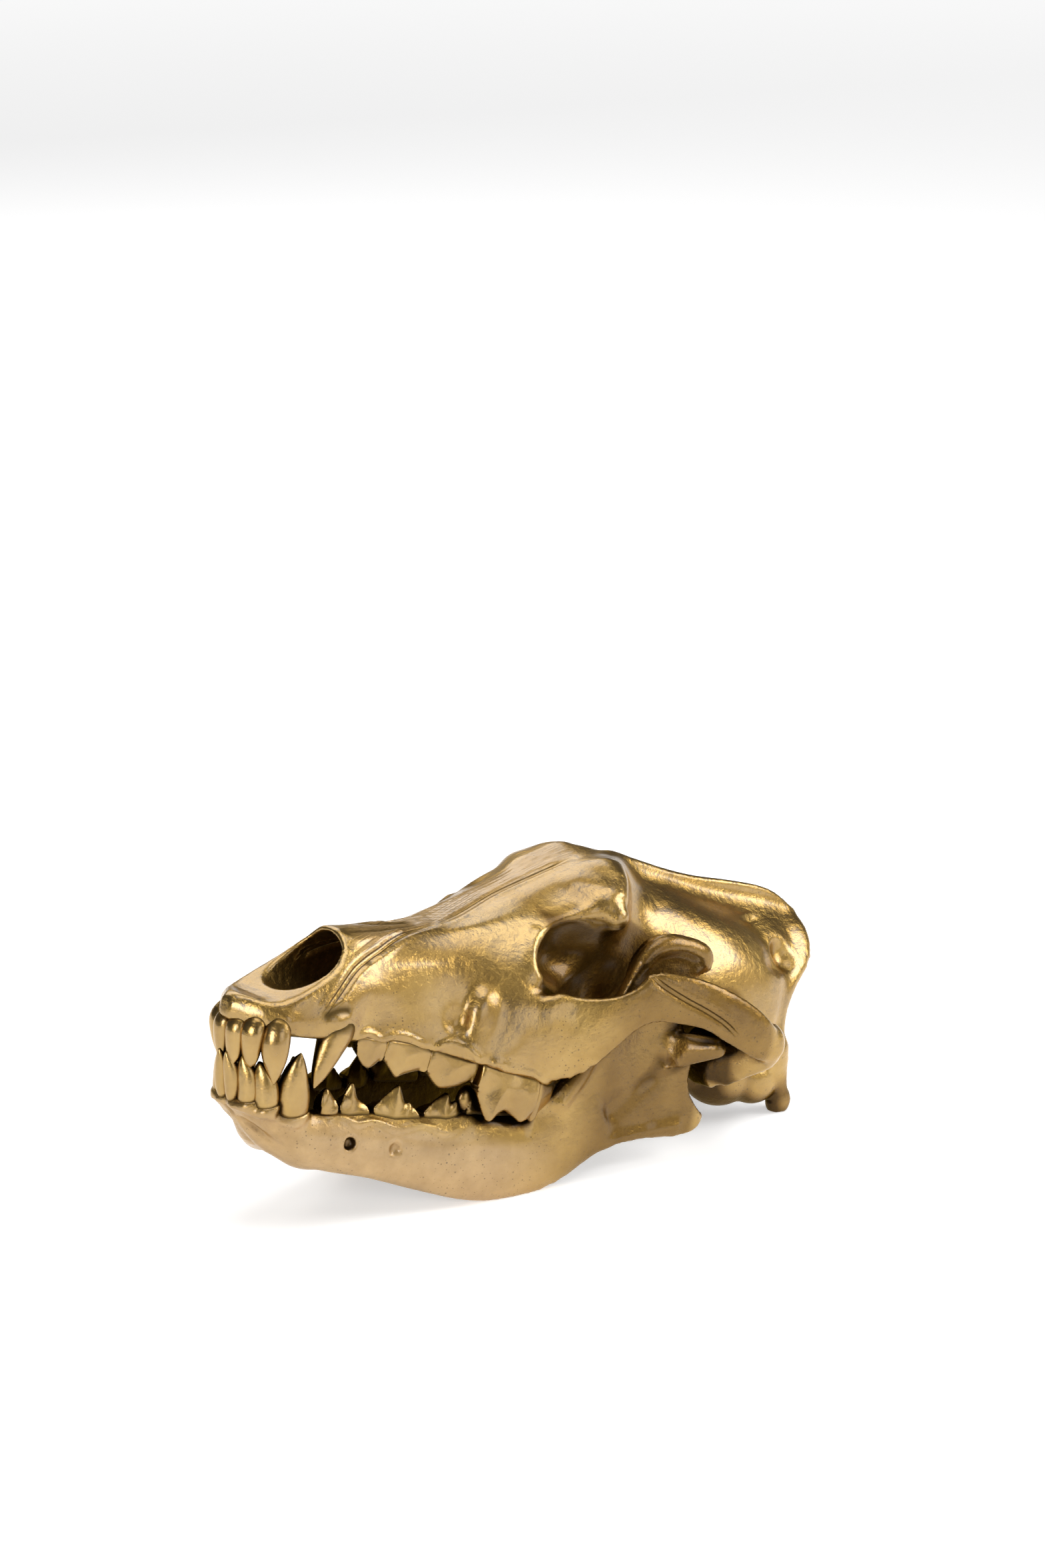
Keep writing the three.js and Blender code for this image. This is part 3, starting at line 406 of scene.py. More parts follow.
def rod(stations, up=(0, 0, 1), steps=3, round_ends=True):
    """A rod of oval section through stations of x, y, z, half thickness and half height."""
    curve = smooth_curve(stations, steps)
    centre, radii = curve[:, :3], np.maximum(curve[:, 3:5], 0.25)
    ahead = np.gradient(centre, axis=0)
    ahead /= np.linalg.norm(ahead, axis=1, keepdims=True)
    across = np.cross(ahead, np.array(up, float))
    across /= np.linalg.norm(across, axis=1, keepdims=True)
    upward = np.cross(across, ahead)
    reach = radii.max(1, keepdims=True)
    ahead, across, upward = (way.astype(np.float32) for way in (ahead, across, upward))

    def distance(points):
        best = np.full(points.shape[:-1], FAR, np.float32)
        for i in range(len(curve) - 1):
            run = centre[i + 1] - centre[i]
            rel = points - centre[i].astype(np.float32)
            t = np.clip(rel @ (run / (run @ run)).astype(np.float32), 0, 1)
            off = rel - t[..., None] * run.astype(np.float32)
            u, v = ((off @ way[i]) * (1 - t) + (off @ way[i + 1]) * t for way in (across, upward))
            thick, tall = (radii[i, j] * (1 - t) + radii[i + 1, j] * t for j in (0, 1))
            end = np.minimum(thick, tall) * (1.0 if round_ends else 0.3)
            best = np.minimum(best, egg_distance((u, v, off @ ahead[i]), (thick, tall, end)))
        return best

    return (centre - reach).min(0), (centre + reach).max(0), distance


def ball(centre, radii):
    centre, radii = np.array(centre, np.float32), np.array(radii, np.float32)

    def distance(points):
        return egg_distance(np.moveaxis(points - centre, -1, 0), radii)

    return centre - radii, centre + radii, distance


def outline_distance(u, v, outline, closed=True):
    """Signed distance in a plane to an outline, negative inside. An open one is half of a mirrored shape."""
    start = np.asarray(outline, float)
    end = np.roll(start, -1, axis=0)
    if not closed:
        start, end = start[:-1], end[:-1]
    best = np.full(u.shape, 1e9)
    inside = np.zeros(u.shape, bool)
    for (u1, v1), (u2, v2) in zip(start, end):
        du, dv = u2 - u1, v2 - v1
        t = np.clip(((u - u1) * du + (v - v1) * dv) / max(du * du + dv * dv, 1e-12), 0, 1)
        best = np.minimum(best, (u - u1 - t * du) ** 2 + (v - v1 - t * dv) ** 2)
        if v1 != v2:
            inside ^= ((v1 > v) != (v2 > v)) & (u < u1 + (v - v1) * du / dv)
    return np.where(inside, -1, 1) * np.sqrt(best)


def plane_of(points, outline, smooth=4):
    """Distance to an outline of y and z over a block of grid points."""
    curve = smooth_curve(list(outline) + [outline[0]], smooth)[:-1] if smooth > 1 else outline
    flat = outline_distance(points[0, :, :, 1], points[0, :, :, 2], curve)
    return flat[None].astype(np.float32)


def plate(outline, middle, half, edge=1.0, smooth=4):
    """A plate with a rounded edge, whose middle is a number or a function of y and z."""
    ys, zs = zip(*outline)
    at = middle if callable(middle) else (lambda y, z: middle + 0 * y)
    corners = [at(y, z) for y in (min(ys), max(ys)) for z in (min(zs), max(zs))]

    def distance(points):
        flat = plane_of(points, outline, smooth)
        y, z = points[..., 1], points[..., 2]
        side = np.abs(points[..., 0] - at(y, z)) - (half - edge)
        over = flat + edge
        outside = np.sqrt(np.maximum(side, 0) ** 2 + np.maximum(over, 0) ** 2)
        return outside + np.minimum(np.maximum(side, over), 0) - edge

    low = np.array([min(corners) - half, min(ys), min(zs)])
    high = np.array([max(corners) + half, max(ys), max(zs)])
    return low, high, distance


def blade(first, last, neck, lean, half, taper, outline):
    """A tooth crown whose faces draw together towards its cutting edge, rounded off at its ends."""
    slope = (last[0] - first[0]) / (last[1] - first[1])
    squareness = 1 / math.sqrt(1 + slope ** 2)
    rootward = 1 if outline[0][1] > neck else -1
    ends_cut = 3 if len(outline) > 9 else 2
    cutting_edge = smooth_curve(outline[ends_cut:-ends_cut], 4)
    ys, zs = zip(*outline)

    def distance(points):
        depth = -plane_of(points, outline)
        to_edge = outline_distance(points[0, :, :, 1], points[0, :, :, 2], cutting_edge, closed=False)
        to_edge = np.abs(to_edge)[None].astype(np.float32)
        y, z = points[..., 1], points[..., 2]
        middle = first[0] + slope * (y - first[1]) + lean * (z - neck)
        side = np.abs(points[..., 0] - middle) * squareness
        inward = np.clip(to_edge / (1.5 * taper), 0.01, 1)
        face = half * (0.5 * inward ** 0.6 + 0.5 * np.sqrt(1 - (1 - inward) ** 2))
        ends = 0.74 + 0.26 * np.sqrt(1 - (1 - np.clip(depth / 2.6, 0, 1)) ** 2)
        ends = ends * (1 - 0.7 * rising(rootward * (z - neck), 1.5, 4))
        return np.where(depth > 0, np.maximum(side - face * ends, -depth), np.hypot(side, depth)) * 0.8

    reach = max(abs(lean * (z - neck)) for z in zs) + half + 1
    low = np.array([min(first[0], last[0]) - reach, min(ys), min(zs)])
    high = np.array([max(first[0], last[0]) + reach, max(ys), max(zs)])
    return low, high, distance


def along_row(turn):
    """The way a row of pegs runs, turned away from +Y."""
    return math.sin(math.radians(turn)), math.cos(math.radians(turn)), 0


def socket_of(name):
    """The bone round the root of a peg, a little thicker than it, down to its gum line."""
    turn, stations = PEGS[name]
    rootward = 1 if name.startswith("upper") else -1
    curve = smooth_curve(stations, 5)
    root = curve[rootward * (curve[:, 2] - GUM_LINES[name]) > 0]
    return rod(root[::2] + (0, 0, 0, 0.9, 0.9), along_row(turn), 2, round_ends=False)


def add_sockets(field, row):
    for name in GUM_LINES:
        if name.startswith(row):
            field.add(socket_of(name), 2)


def body_of_sections(field):
    """The cranium's main form: each cross-section's distance, leant back and bowed where the sections are."""
    table = np.array([[y, *np.ravel(half)] for y, half in SECTIONS.items()])
    dense = smooth_curve(table, 10)
    ys = np.arange(table[0, 0], table[-1, 0] + 0.5, field.cell)
    xs, zs = field.axes[0][field.axes[0] < BODY_HALF_WIDTH], field.axes[2]
    u, v = np.meshgrid(xs, zs, indexing="ij")
    layers = []
    for y in ys:
        row = np.array([np.interp(y, dense[:, 0], dense[:, i]) for i in range(1, table.shape[1])])
        half = row.reshape(-1, 2)
        mirror = half * (-1, 1)
        around = np.vstack([mirror[1:2], half, mirror[-2:-1]])
        curve = smooth_curve(around, 5)[5:-5]
        curve[:, 0] = np.maximum(curve[:, 0], 0)
        layers.append(outline_distance(u, v, curve, closed=False))
    layers = np.array(layers)
    leans = np.array([LEAN_AND_BOW.get(y, (0, 0)) for y in SECTIONS])
    slants, bows = (np.interp(ys, table[:, 0], column) for column in leans.T)
    made = np.full((len(xs), len(field.axes[1]), len(zs)), FAR)
    for i, x in enumerate(np.minimum(xs, BOWED_HALF_WIDTH)):
        for k, z in enumerate(zs):
            moved = ys + slants * z - bows * x * x
            at = np.interp(field.axes[1], moved, np.arange(len(ys)))
            low = np.minimum(at.astype(int), len(ys) - 2)
            column = layers[low, i, k] * (1 - at + low) + layers[low + 1, i, k] * (at - low)
            beyond = np.maximum(moved[0] - field.axes[1], field.axes[1] - moved[-1])
            past_end = np.hypot(np.maximum(column, 0), beyond)
            made[i, :, k] = np.where(beyond > 0, past_end, np.maximum(column, beyond))
    field.value[:len(xs)] = made


def sample(value, low, cell, points):
    """Values of a grid between its points."""
    at = (points - low) / cell
    at = np.clip(at, 0, np.array(value.shape) - 1.001)
    base = at.astype(int)
    share = at - base
    out = 0
    for corner in range(8):
        step = np.array([corner & 1, corner >> 1 & 1, corner >> 2 & 1])
        weight = np.where(step, share, 1 - share).prod(1)
        i, j, k = (base + step).T
        out = out + weight * value[i, j, k]
    return out


def surface_of(value, low, cell, sharpen=2):
    """The surface of a field as points and four-sided faces."""
    unit = np.eye(3, dtype=int)
    inside = value < 0
    shape = np.array(value.shape) - 1
    corners = [inside[i:i + shape[0], j:j + shape[1], k:k + shape[2]]
               for i in (0, 1) for j in (0, 1) for k in (0, 1)]
    total = sum(c.astype(np.int8) for c in corners)
    cells = np.argwhere((total > 0) & (total < 8))
    number = np.full(shape, -1, np.int64)
    number[tuple(cells.T)] = np.arange(len(cells))
    spot, hits = np.zeros((len(cells), 3)), np.zeros(len(cells))
    for axis in range(3):
        second, third = (a for a in range(3) if a != axis)
        for p, q in ((0, 0), (0, 1), (1, 0), (1, 1)):
            corner = p * unit[second] + q * unit[third]
            start = cells + corner
            a, b = value[tuple(start.T)], value[tuple((start + unit[axis]).T)]
            hit = (a < 0) != (b < 0)
            t = np.where(hit, a / np.where(hit, a - b, 1), 0)
            spot += (corner + t[:, None] * unit[axis]) * hit[:, None]
            hits += hit
    points = low + cell * (cells + spot / hits[:, None])
    faces = []
    for axis in range(3):
        second, third = (axis + 1) % 3, (axis + 2) % 3
        before = [slice(1, None)] * 3
        before[axis] = slice(0, -1)
        a, b = inside[tuple(before)], inside[1:, 1:, 1:]
        for outwards in (True, False):
            place = np.argwhere(a & ~b if outwards else ~a & b) + unit[second] + unit[third]
            ring = [place - p * unit[second] - q * unit[third] for p, q in ((0, 0), (1, 0), (1, 1), (0, 1))]
            keep = np.all([(c >= 0) & (c < shape) for c in ring], (0, 2))
            ids = np.stack([number[tuple(c[keep].T)] for c in ring], 1)
            faces.append(ids if outwards else ids[:, ::-1])
    faces = np.vstack(faces)
    faces = faces[(faces >= 0).all(1)]
    slope = np.stack(np.gradient(value, cell), -1)
    for _ in range(sharpen):
        points = relaxed(points, faces, 0.5)
        for _ in range(2):
            distance = sample(value, low, cell, points)
            ahead = np.stack([sample(slope[..., i], low, cell, points) for i in range(3)], 1)
            size = np.maximum((ahead ** 2).sum(1), 0.15)
            points = points - np.clip(distance / size, -cell / 2, cell / 2)[:, None] * ahead
    return points, faces


def relaxed(points, faces, share):
    """Each point moved part of the way to the middle of its neighbours."""
    total, count = np.zeros_like(points), np.zeros(len(points))
    for side in range(4):
        a, b = faces[:, side], faces[:, (side + 1) % 4]
        for start, end in ((a, b), (b, a)):
            for i in range(3):
                total[:, i] += np.bincount(start, points[end, i], len(points))
            count += np.bincount(start, minlength=len(points))
    return points + share * (total / np.maximum(count, 1)[:, None] - points)


def normals_of(points, faces):
    a, b = points[faces[:, 2]] - points[faces[:, 0]], points[faces[:, 3]] - points[faces[:, 1]]
    facing = np.cross(a, b)
    out = np.zeros_like(points)
    for side in range(4):
        for i in range(3):
            out[:, i] += np.bincount(faces[:, side], facing[:, i], len(points))
    return out / np.maximum(np.linalg.norm(out, axis=1, keepdims=True), 1e-12)


def etched(points, facing, lines):
    """Points pushed in and out along the lines, with how deep each is in a groove, how near to a suture and
    how far to which side of it."""
    shift, stain, mark = np.zeros((3, len(points)))
    beside = np.ones(len(points))
    for name, (reach, rise, path) in lines.items():
        for side in (1,) if name in ONE_SIDED else (1, -1):
            curve = smooth_curve(path, 5) * (side, 1, 1)
            near = ((points > curve.min(0) - 5 * reach - 3) & (points < curve.max(0) + 5 * reach + 3)).all(1)
            spots, normals = points[near], facing[near]
            best, signed, share = np.full((3, len(spots)), 1e9)
            for i, (start, end) in enumerate(zip(curve[:-1], curve[1:])):
                run = end - start
                t = np.clip((spots - start) @ run / (run @ run), 0, 1)
                off = spots - start - t[:, None] * run
                through = (off * normals).sum(1)
                across = np.sqrt(np.maximum((off ** 2).sum(1) - through ** 2, 0))
                across = across + 2 * np.maximum(np.abs(through) - 4, 0)
                closer = across < best
                best[closer] = across[closer]
                share[closer] = (i + t[closer]) / (len(curve) - 1)
                signed[closer] = (across * np.sign((np.cross(run, normals) * off).sum(1)))[closer]
            fade = rising(np.minimum(share, 1 - share), 0, 0.12)
            shape = np.exp(-(best / reach) ** 2) * fade
            moved = rise * shape
            if name.endswith("_suture"):
                moved += 0.3 * fade * np.exp(-((best - 2 * reach) / (0.8 * reach)) ** 2)
                closest = rising(best, 3.4, -1.2) * fade
                to_side = 0.5 + np.clip(signed / 8, -0.5, 0.5)
                beside[near] = np.where(closest > mark[near], to_side, beside[near])
                mark[near] = np.maximum(mark[near], closest)
            elif rise < 0 and reach < 2:
                stain[near] = np.maximum(stain[near], shape)
            shift[near] += moved
    return points + shift[:, None] * facing, {"stain": stain, "mark": mark, "beside": beside}


def striated(points, facing):
    """Fine furrows beside the suture on the top of the snout and brow."""
    x, y, _ = points.T
    beside = np.interp(y, *np.transpose(STRIP_SUTURE)) - x
    fade = rising(beside, 0, 2) * rising(beside, 17, -3) * rising(facing[:, 2], 0.3, 0.2)
    fade = fade * rising(y, 38, 8) * rising(y, 152, -10)
    furrow = np.maximum(np.cos(2 * np.pi * (beside + 0.8 * np.sin(y / 11)) / 2.9), 0) ** 2
    return points - (0.22 * fade * furrow)[:, None] * facing, {"strip": fade, "furrow": (beside + 2) / 24}


def in_row_frame(points):
    x, y, z = points.T
    back = PITCH_COS * y + PITCH_SIN * z - MIDDLE_BACK
    up = PITCH_COS * z - PITCH_SIN * y + FLOOR_DROP
    return np.stack([x, back, np.maximum(up, 0)], 1) / 1000


def cut_at_floor(field):
    y, z = field.axes[1][None, :, None], field.axes[2][None, None, :]
    up = PITCH_COS * z - PITCH_SIN * y + FLOOR_DROP
    field.value = np.maximum(field.value, -up.astype(np.float32))


def cranium_field():
    field = Field((0, -9, -15), (76, 268, 86), CRANIUM_CELL)
    body_of_sections(field)
    field.add(plate(CREST, 0, 1.5, 1.4), 5)
    field.add(rod(NUCHAL_CREST, (0, 1, 0.2)), 2.5)
    field.add(rod(CANINE_SWELLING, (0, 1, 0)), 3)
    field.add(rod(ARCH), 3)
    field.add(rod(HINGE_ROOF), 3)
    field.add(rod(HINGE_SPUR), 2.5)
    field.add(rod(TUBER), 4)
    field.add(rod(PAROCCIPITAL, (0, 1, 0)), 2.5)
    field.add(ball(*EAR_BULGE), 1.5)
    field.add(ball(*EAR_BULGE_REAR), 2)
    field.add(ball(*NECK_KNOB), 2)
    field.carve(ball(*NECK_HOLLOW), 3)
    field.carve(plate(ABOVE_NOSE_RIM, 0, 30, 1, smooth=1), 1.8)
    field.carve(rod(NOSE_HOLLOW), 1)
    field.carve(ball(*ORBIT), 2)
    field.carve(ball(*ORBIT_DEPTH), 3)
    field.add(rod(POSTORBITAL, (0.4, 0, 1)), 5)
    field.add(plate(PTERYGOID, 12, 1.4), 1.5)
    add_sockets(field, "upper")
    field.carve(rod(THROAT), 1.5)
    field.carve(rod(SPINAL_HOLE), 1.5)
    field.carve(ball(*CHEEK_HOLLOW), 5)
    field.add(ball(*CHEEK_SWELLING), 5)
    field.carve(ball(*CHEEK_DIMPLE), 3)
    field.carve(ball(*EAR_HOLE), 1.2)
    cut_at_floor(field)
    return field


def ramus_middle(y, z):
    """How far out the middle of the upright rear part of the jaw stands."""
    return 37.5 + 0.13 * (y - 136) + 0.017 * (z + 30)


def jaw_field():
    field = Field((0, -2, -55), (64, 204, 62), JAW_CELL)
    field.add(rod(JAW), 1)
    field.add(rod(JAW_RIM), 3)
    field.add(rod(CHIN), 4)
    add_sockets(field, "lower")
    field.add(plate(RAMUS, ramus_middle, 2.6, 1.6), 4)
    field.add(rod(CONDYLE), 3)
    field.add(rod(ANGULAR), 3)
    field.carve(ball(*JAW_HOLLOW), 3)
    field.carve(ball(*NERVE_HOLE_FRONT), 1)
    field.carve(ball(*NERVE_HOLE_REAR), 1.6)
    cut_at_floor(field)
    return field


def tooth_field(name):
    if name in PEGS:
        turn, stations = PEGS[name]
        shapes = [rod(stations, along_row(turn), 5)]
    else:
        shapes = [blade(*BLADES[name])]
        shapes += [ball(*cusp) for cusp in MORE_CUSPS.get(name, [])]
    low = np.min([s[0] for s in shapes], 0) - 2
    high = np.max([s[1] for s in shapes], 0) + 2
    field = Field(low, high, TOOTH_CELL, halved=False)
    for shape in shapes:
        field.add(shape, 1.6)
    return field


def add_object(name, data):
    thing = bpy.data.objects.new(name, data)
    bpy.context.scene.collection.objects.link(thing)
    return thing


def build_mesh(name, points, faces, shades):
    """A Blender object from points in the skull's axes, with its named values at each point."""
    mesh = bpy.data.meshes.new(name)
    placed = in_row_frame(points)
    mesh.vertices.add(len(placed))
    mesh.vertices.foreach_set("co", placed.astype(np.float32).ravel())
    mesh.loops.add(4 * len(faces))
    mesh.loops.foreach_set("vertex_index", faces.astype(np.int32).ravel())
    mesh.polygons.add(len(faces))
    mesh.polygons.foreach_set("loop_start", np.arange(0, 4 * len(faces), 4, dtype=np.int32))
    mesh.polygons.foreach_set("use_smooth", np.ones(len(faces), bool))
    mesh.update(calc_edges=True)
    for key, values in shades.items():
        layer = mesh.attributes.new(key, "FLOAT", "POINT")
        layer.data.foreach_set("value", np.clip(values, 0, 1).astype(np.float32))
    return add_object(name, mesh)


def shut_in(points, facing, around):
    """How much the solids round each point shut it in, from 0 in the open to 1."""
    out = np.zeros(len(points))
    for reach, weight in FEELERS:
        away = sample(*around, points + reach * facing)
        out += weight * rising(away, reach, -reach)
    return out / sum(weight for _, weight in FEELERS)


def room_round(fields):
    """All the fields together on a coarse grid."""
    room = Field((0, -12, -56), (80, 272, 90), SHADE_CELL)
    spots = np.stack(np.meshgrid(*room.axes, indexing="ij"), -1).astype(np.float32).reshape(-1, 3)
    for field in fields:
        high = [axis[-1] for axis in field.axes]
        near = ((spots > field.low) & (spots < high)).all(1)
        found = np.full(len(spots), FAR, np.float32)
        found[near] = sample(field.value, field.low, field.cell, spots[near])
        room.value = np.minimum(room.value, found.reshape(room.value.shape))
    return *room.whole(), SHADE_CELL


def painted_shade_where_hidden(points, facing):
    """Painted shade: how dark a place is painted for facing into the mouth or hinge, or for lying on the
    underside, in the eye socket or on the rear of the arch and jaw."""
    x, y, z = np.abs(points[:, 0]), points[:, 1], points[:, 2]
    mouth = rising(-np.sign(points[:, 0]) * facing[:, 0], 0, 0.3) * rising(y, 24, 8) * rising(y, 165, -8)
    mouth = mouth * rising(z, -44, 6) * rising(z, 9, -4)
    forwards = np.minimum(rising(facing[:, 1], 0, -0.4) + rising(facing[:, 2], 0, -0.4), 1)
    hinge = forwards * rising(y, 184, 4) * rising(y, 206, -4)
    hinge = hinge * rising(x, 60, -5) * rising(z, 4, 3) * rising(z, 33, -3)
    under = rising(z, 15, -8) * rising(y, 200, 8) * rising(x, 38, -4)
    orbit = rising(y, 111, 5) * rising(y, 152, -6) * rising(x, 32, -5) * rising(z, 26, 5) * rising(z, 63, -5)
    # Painted shade on the outer face of the arch and of the jaw's upright rear part.
    arch = rising(x, 34, 12) * rising(y, 98, 44) * rising(z, 4, 8) * rising(y, 205, -10)
    ramus = rising(y, 108, 40) * rising(x, 34, 4) * rising(z, 62, -4) * rising(y, 196, -8)
    outside = np.maximum(arch, ramus)
    return np.maximum.reduce([0.62 * mouth, 0.5 * hinge, 0.5 * under, 0.41 * orbit, 0.34 * outside])


def stained_tooth(bone):
    """The shading of a tooth, with a dark line where it leaves the bone."""
    def shaped(points, facing):
        return points, {"stain": np.clip(1.25 - np.abs(sample(*bone, points)) / 0.7, 0, 1)}

    return shaped


def shaped_cranium(points, facing):
    points, shades = etched(points, facing, CRANIUM_LINES)
    points, more = striated(points, facing)
    # The furrowed band beside the suture takes the duller tan colour: partly the matt finish of the nasal
    # strip, partly a painted reflection that makes the brow's right half paler.
    return points, {**shades, **more, "matte": 0.8 * more["strip"]}


def shaped_jaw(points, facing):
    points, shades = etched(points, facing, JAW_LINES)
    return points, {**shades, "matte": rising(points[:, 1], 135, -30) * rising(points[:, 2], -23.5, -5)}


def finish_piece(node, ending, points, faces, material, shaped, around):
    """One piece of the skull in place of a node, with its low relief, its marks and its painted shade."""
    facing = normals_of(points, faces)
    points, shades = shaped(points, facing)
    # Painted shade: darker where the solids round a place shut it in, which partly stands for the dark patina
    # of the hollows and is weaker in the nose hollow, and darker where it faces into the mouth and hinge,
    # lies underneath, sits in the eye socket and on the outside of the arch and jaw.
    nose = rising(points[:, 1], 60, -10) * rising(points[:, 2], 12, 4)
    dark = shut_in(points, facing, around) * (1 - 0.55 * nose)
    dark = np.maximum(dark, painted_shade_where_hidden(points, facing))
    piece = build_mesh(node + ending, points, faces, {"shut_in": dark, **shades})
    piece.data.materials.append(material)
    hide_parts(node)
    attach(piece, "root")


def preset(node, values):
    for name, value in values.items():
        node.inputs[name].default_value = value


def new_material(name):
    """A material with its nodes, the call that links them, and its shader."""
    material = bpy.data.materials.new(name)
    material.use_nodes = True
    tree = material.node_tree
    return material, tree.nodes, tree.links.new, tree.nodes["Principled BSDF"]


def brass(name, seed, tan):
    """Satin cast brass, with painted shade where it is shut in and turned away, partly standing for the dark
    patina of the hollows. The tan kind has sutures, furrows and pores as well.
    """
    material, nodes, link, shader = new_material(name)
    preset(shader, {"Metallic": 1.0, "Coat Roughness": 0.22, "Coat IOR": 1.7})
    preset(shader, {"Specular Tint": (1, 0.8, 0.5, 1)})
    place = nodes.new("ShaderNodeTexCoord").outputs["Object"]

    def noise(scale, detail, roughness, turned=None):
        """Noise over the piece, or over a space that is turned and squashed."""
        node = nodes.new("ShaderNodeTexNoise")
        node.noise_dimensions = "4D"
        preset(node, {"W": seed, "Scale": scale, "Detail": detail, "Roughness": roughness})
        source = place
        if turned:
            turn = nodes.new("ShaderNodeMapping")
            preset(turn, turned)
            link(place, turn.inputs["Vector"])
            source = turn.outputs["Vector"]
        link(source, node.inputs["Vector"])
        return node.outputs["Fac"]

    def ramp(value, stops):
        node = nodes.new("ShaderNodeValToRGB")
        while len(node.color_ramp.elements) < len(stops):
            node.color_ramp.elements.new(0.5)
        for element, (at, colour) in zip(node.color_ramp.elements, stops):
            element.position = at
            element.color = (*colour, 1)
        link(value, node.inputs["Fac"])
        return node.outputs["Color"]

    def feed(socket, value):
        """Gives a socket a colour, a number or what another socket says."""
        if isinstance(value, tuple):
            socket.default_value = (*value, 1)
        elif isinstance(value, (int, float)):
            socket.default_value = value
        else:
            link(value, socket)

    def mix(kind, factor, a, b):
        node = nodes.new("ShaderNodeMix")
        node.data_type = "RGBA"
        node.blend_type = kind
        for index, value in ((0, factor), (6, a), (7, b)):
            feed(node.inputs[index], value)
        return node.outputs[2]

    def calc(kind, *values, clamp=False):
        node = nodes.new("ShaderNodeMath")
        node.operation = kind
        node.use_clamp = clamp
        for socket, value in zip(node.inputs, values):
            feed(socket, value)
        return node.outputs[0]

    def times(a, b):
        return calc("MULTIPLY", a, b)

    def plus(*terms, clamp=False):
        total = terms[0]
        for term in terms[1:]:
            total = calc("ADD", total, term, clamp=clamp)
        return total

    def attribute(name):
        node = nodes.new("ShaderNodeAttribute")
        node.attribute_name = name
        return node.outputs["Fac"]

    shade_and_patina_mask, matte, stain = attribute("shut_in"), attribute("matte"), attribute("stain")

    def double_line():
        """The two thin lines of a suture, from how far off it and on which side a place is."""
        off = calc("ABSOLUTE", calc("SUBTRACT", attribute("beside"), 0.5))
        off = calc("ABSOLUTE", calc("SUBTRACT", off, 0.1))
        line = calc("SUBTRACT", 1.0, times(off, 22.0), clamp=True)
        return times(line, attribute("mark"))

    def furrows():
        """The thin lines along the top of the snout, from how far beside the suture a place is."""
        wave = plus(times(attribute("furrow"), 98.0), times(noise(30, 2, 0.5), 7.0))
        wave = calc("POWER", calc("MAXIMUM", calc("SINE", wave), 0.0), 3.0)
        broken = ramp(noise(70, 2, 0.5), [(0.4, BLACK), (0.6, WHITE)])
        return times(times(wave, attribute("strip")), broken)

    if tan:
        stain = plus(stain, double_line(), times(furrows(), 0.6), clamp=True)

    fresh = ramp(noise(38, 5, 0.6), [(0.3, BRASS_DEEP), (0.52, BRASS_MIDDLE), (0.75, BRASS_PALE)])
    dull = ramp(noise(90, 4, 0.6), [(0.3, TAN_DEEP), (0.7, TAN_PALE)])
    # The colour is darkened by the painted shade, partly the dark patina of the hollows, read from the
    # shut_in value.
    coloured = mix("MULTIPLY", 1.0, mix("MIX", matte, fresh, dull), ramp(shade_and_patina_mask, SHADE_AND_PATINA_RAMP))
    coloured = mix("MIX", times(stain, 0.85), coloured, STAIN_COLOUR)

    pits = nodes.new("ShaderNodeTexVoronoi")
    preset(pits, {"Scale": 950})
    link(place, pits.inputs["Vector"])
    patches = ramp(noise(48, 3, 0.6), [(0.42, BLACK), (0.56, WHITE)])
    size = times(calc("POWER", pits.outputs["Color"], 2.0), 0.42 * tan)
    pit = times(calc("LESS_THAN", pits.outputs["Distance"], size), patches)
    link(mix("MIX", times(pit, 0.6), coloured, PIT_COLOUR), shader.inputs["Base Color"])

    rough = calc("MULTIPLY_ADD", noise(120, 5, 0.6), 0.2, 0.2 + tan * 0.03)
    rough = plus(rough, times(matte, 0.17), times(shade_and_patina_mask, 0.15), times(stain, 0.25), clamp=True)
    link(rough, shader.inputs["Roughness"])
    # The coat thins in the stains and under the painted shade.
    hidden = plus(stain, times(shade_and_patina_mask, 1.6), clamp=True)
    link(calc("MULTIPLY_ADD", hidden, -0.8, 0.8), shader.inputs["Coat Weight"])

    brushed = noise(420, 3, 0.5, {"Rotation": (0.5, 0.2, 0.3), "Scale": (1, 0.12, 1)})
    relief = plus(noise(85, 3, 0.5), times(noise(330, 4, 0.6), 0.55), times(noise(1500, 2, 0.5), 0.07))
    relief = plus(relief, times(brushed, 0.16))
    relief = calc("SUBTRACT", calc("SUBTRACT", relief, times(pit, 0.3)), times(stain, 0.3))
    bump = nodes.new("ShaderNodeBump")
    preset(bump, {"Strength": 0.4 + 0.35 * tan, "Distance": 0.0013})
    link(relief, bump.inputs["Height"])
    link(bump.outputs["Normal"], shader.inputs["Normal"])
    return material


def add_camera():
    data = bpy.data.cameras.new("camera")
    data.sensor_width = SENSOR_WIDTH
    data.lens = CAMERA_LENS
    camera = add_object("camera", data)
    camera.location = CAMERA_PLACE
    camera.rotation_euler = (-Vector(CAMERA_BACK)).to_track_quat("-Z", "Y").to_euler()
    bpy.context.scene.camera = camera


def add_lamp(name, place, size, power):
    data = bpy.data.lights.new(name, "AREA")
    data.shape = "RECTANGLE"
    data.size, data.size_y = size
    data.energy = power
    lamp = add_object(name, data)
    lamp.location = place
    lamp.rotation_euler = (Vector(LAMP_TARGET) - Vector(place)).to_track_quat("-Z", "Y").to_euler()


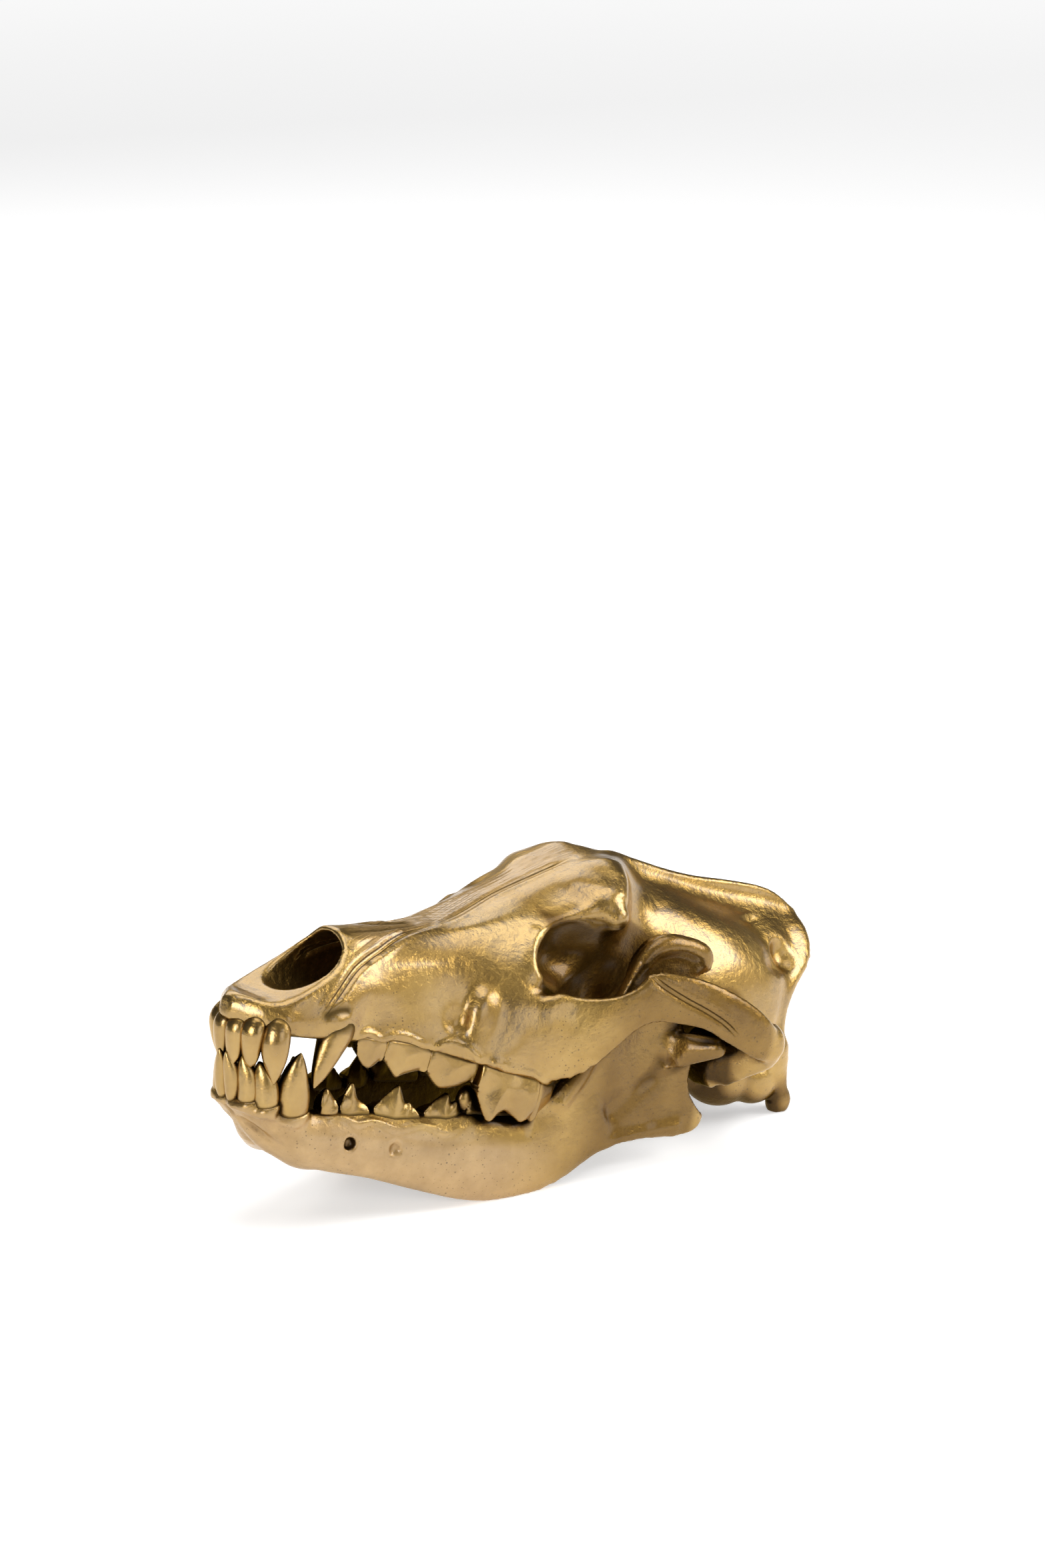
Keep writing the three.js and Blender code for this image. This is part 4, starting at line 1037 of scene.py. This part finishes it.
def paper():
    """Matt white, with a glow that grows away from the skull."""
    material, nodes, link, shader = new_material("floor")
    preset(shader, {"Base Color": (*FLOOR_COLOUR, 1), "Roughness": 0.9})
    preset(shader, {"Specular IOR Level": 0.1, "Emission Color": (1, 1, 1, 1)})
    away = nodes.new("ShaderNodeVectorMath")
    away.operation = "LENGTH"
    link(nodes.new("ShaderNodeTexCoord").outputs["Object"], away.inputs[0])
    glow = nodes.new("ShaderNodeMapRange")
    (near, least), (far, most) = GLOW_NEAR, GLOW_FAR
    preset(glow, {"From Min": near, "From Max": far, "To Min": least, "To Max": most})
    link(away.outputs["Value"], glow.inputs["Value"])
    link(glow.outputs["Result"], shader.inputs["Emission Strength"])
    return material


def add_studio():
    corners = [(x * FLOOR_HALF, y * FLOOR_HALF, 0) for x, y in ((-1, -1), (1, -1), (1, 1), (-1, 1))]
    mesh = bpy.data.meshes.new("floor")
    mesh.from_pydata(corners, [], [(0, 1, 2, 3)])
    mesh.materials.append(paper())
    floor = add_object("floor", mesh)
    world = bpy.data.worlds.new("studio")
    world.use_nodes = True
    preset(world.node_tree.nodes["Background"], {"Color": (1, 1, 1, 1), "Strength": WORLD_STRENGTH})
    bpy.context.scene.world = world
    for name, (place, size, power) in LAMPS.items():
        add_lamp(name, place, size, power)


add_camera()
add_studio()
bpy.context.scene.view_settings.view_transform = "Standard"

bone_brass = brass("cast_brass", 0.0, 1.0)
tooth_brass = brass("polished_brass", 3.0, 0.0)

cranium, jaw = cranium_field(), jaw_field()
teeth = {name: tooth_field(name) for name in [*PEGS, *BLADES]}
around = room_round([cranium, jaw, *teeth.values()])
bones = {"upper": (*cranium.whole(), cranium.cell), "lower": (*jaw.whole(), jaw.cell)}

for node, bone, shaped in (("cranium", "upper", shaped_cranium), ("lower_jaw", "lower", shaped_jaw)):
    points, faces = surface_of(*bones[bone])
    finish_piece(node, "_bone", points, faces, bone_brass, shaped, around)

for name, field in teeth.items():
    points, faces = surface_of(field.value, field.low, field.cell)
    shaped = stained_tooth(bones[name.split("_")[0]])
    for side, x, turned in (("_left", 1, faces), ("_right", -1, faces[:, ::-1])):
        sided = points * (x, 1, 1)
        finish_piece(name + side, "_crown", sided, turned, tooth_brass, shaped, around)
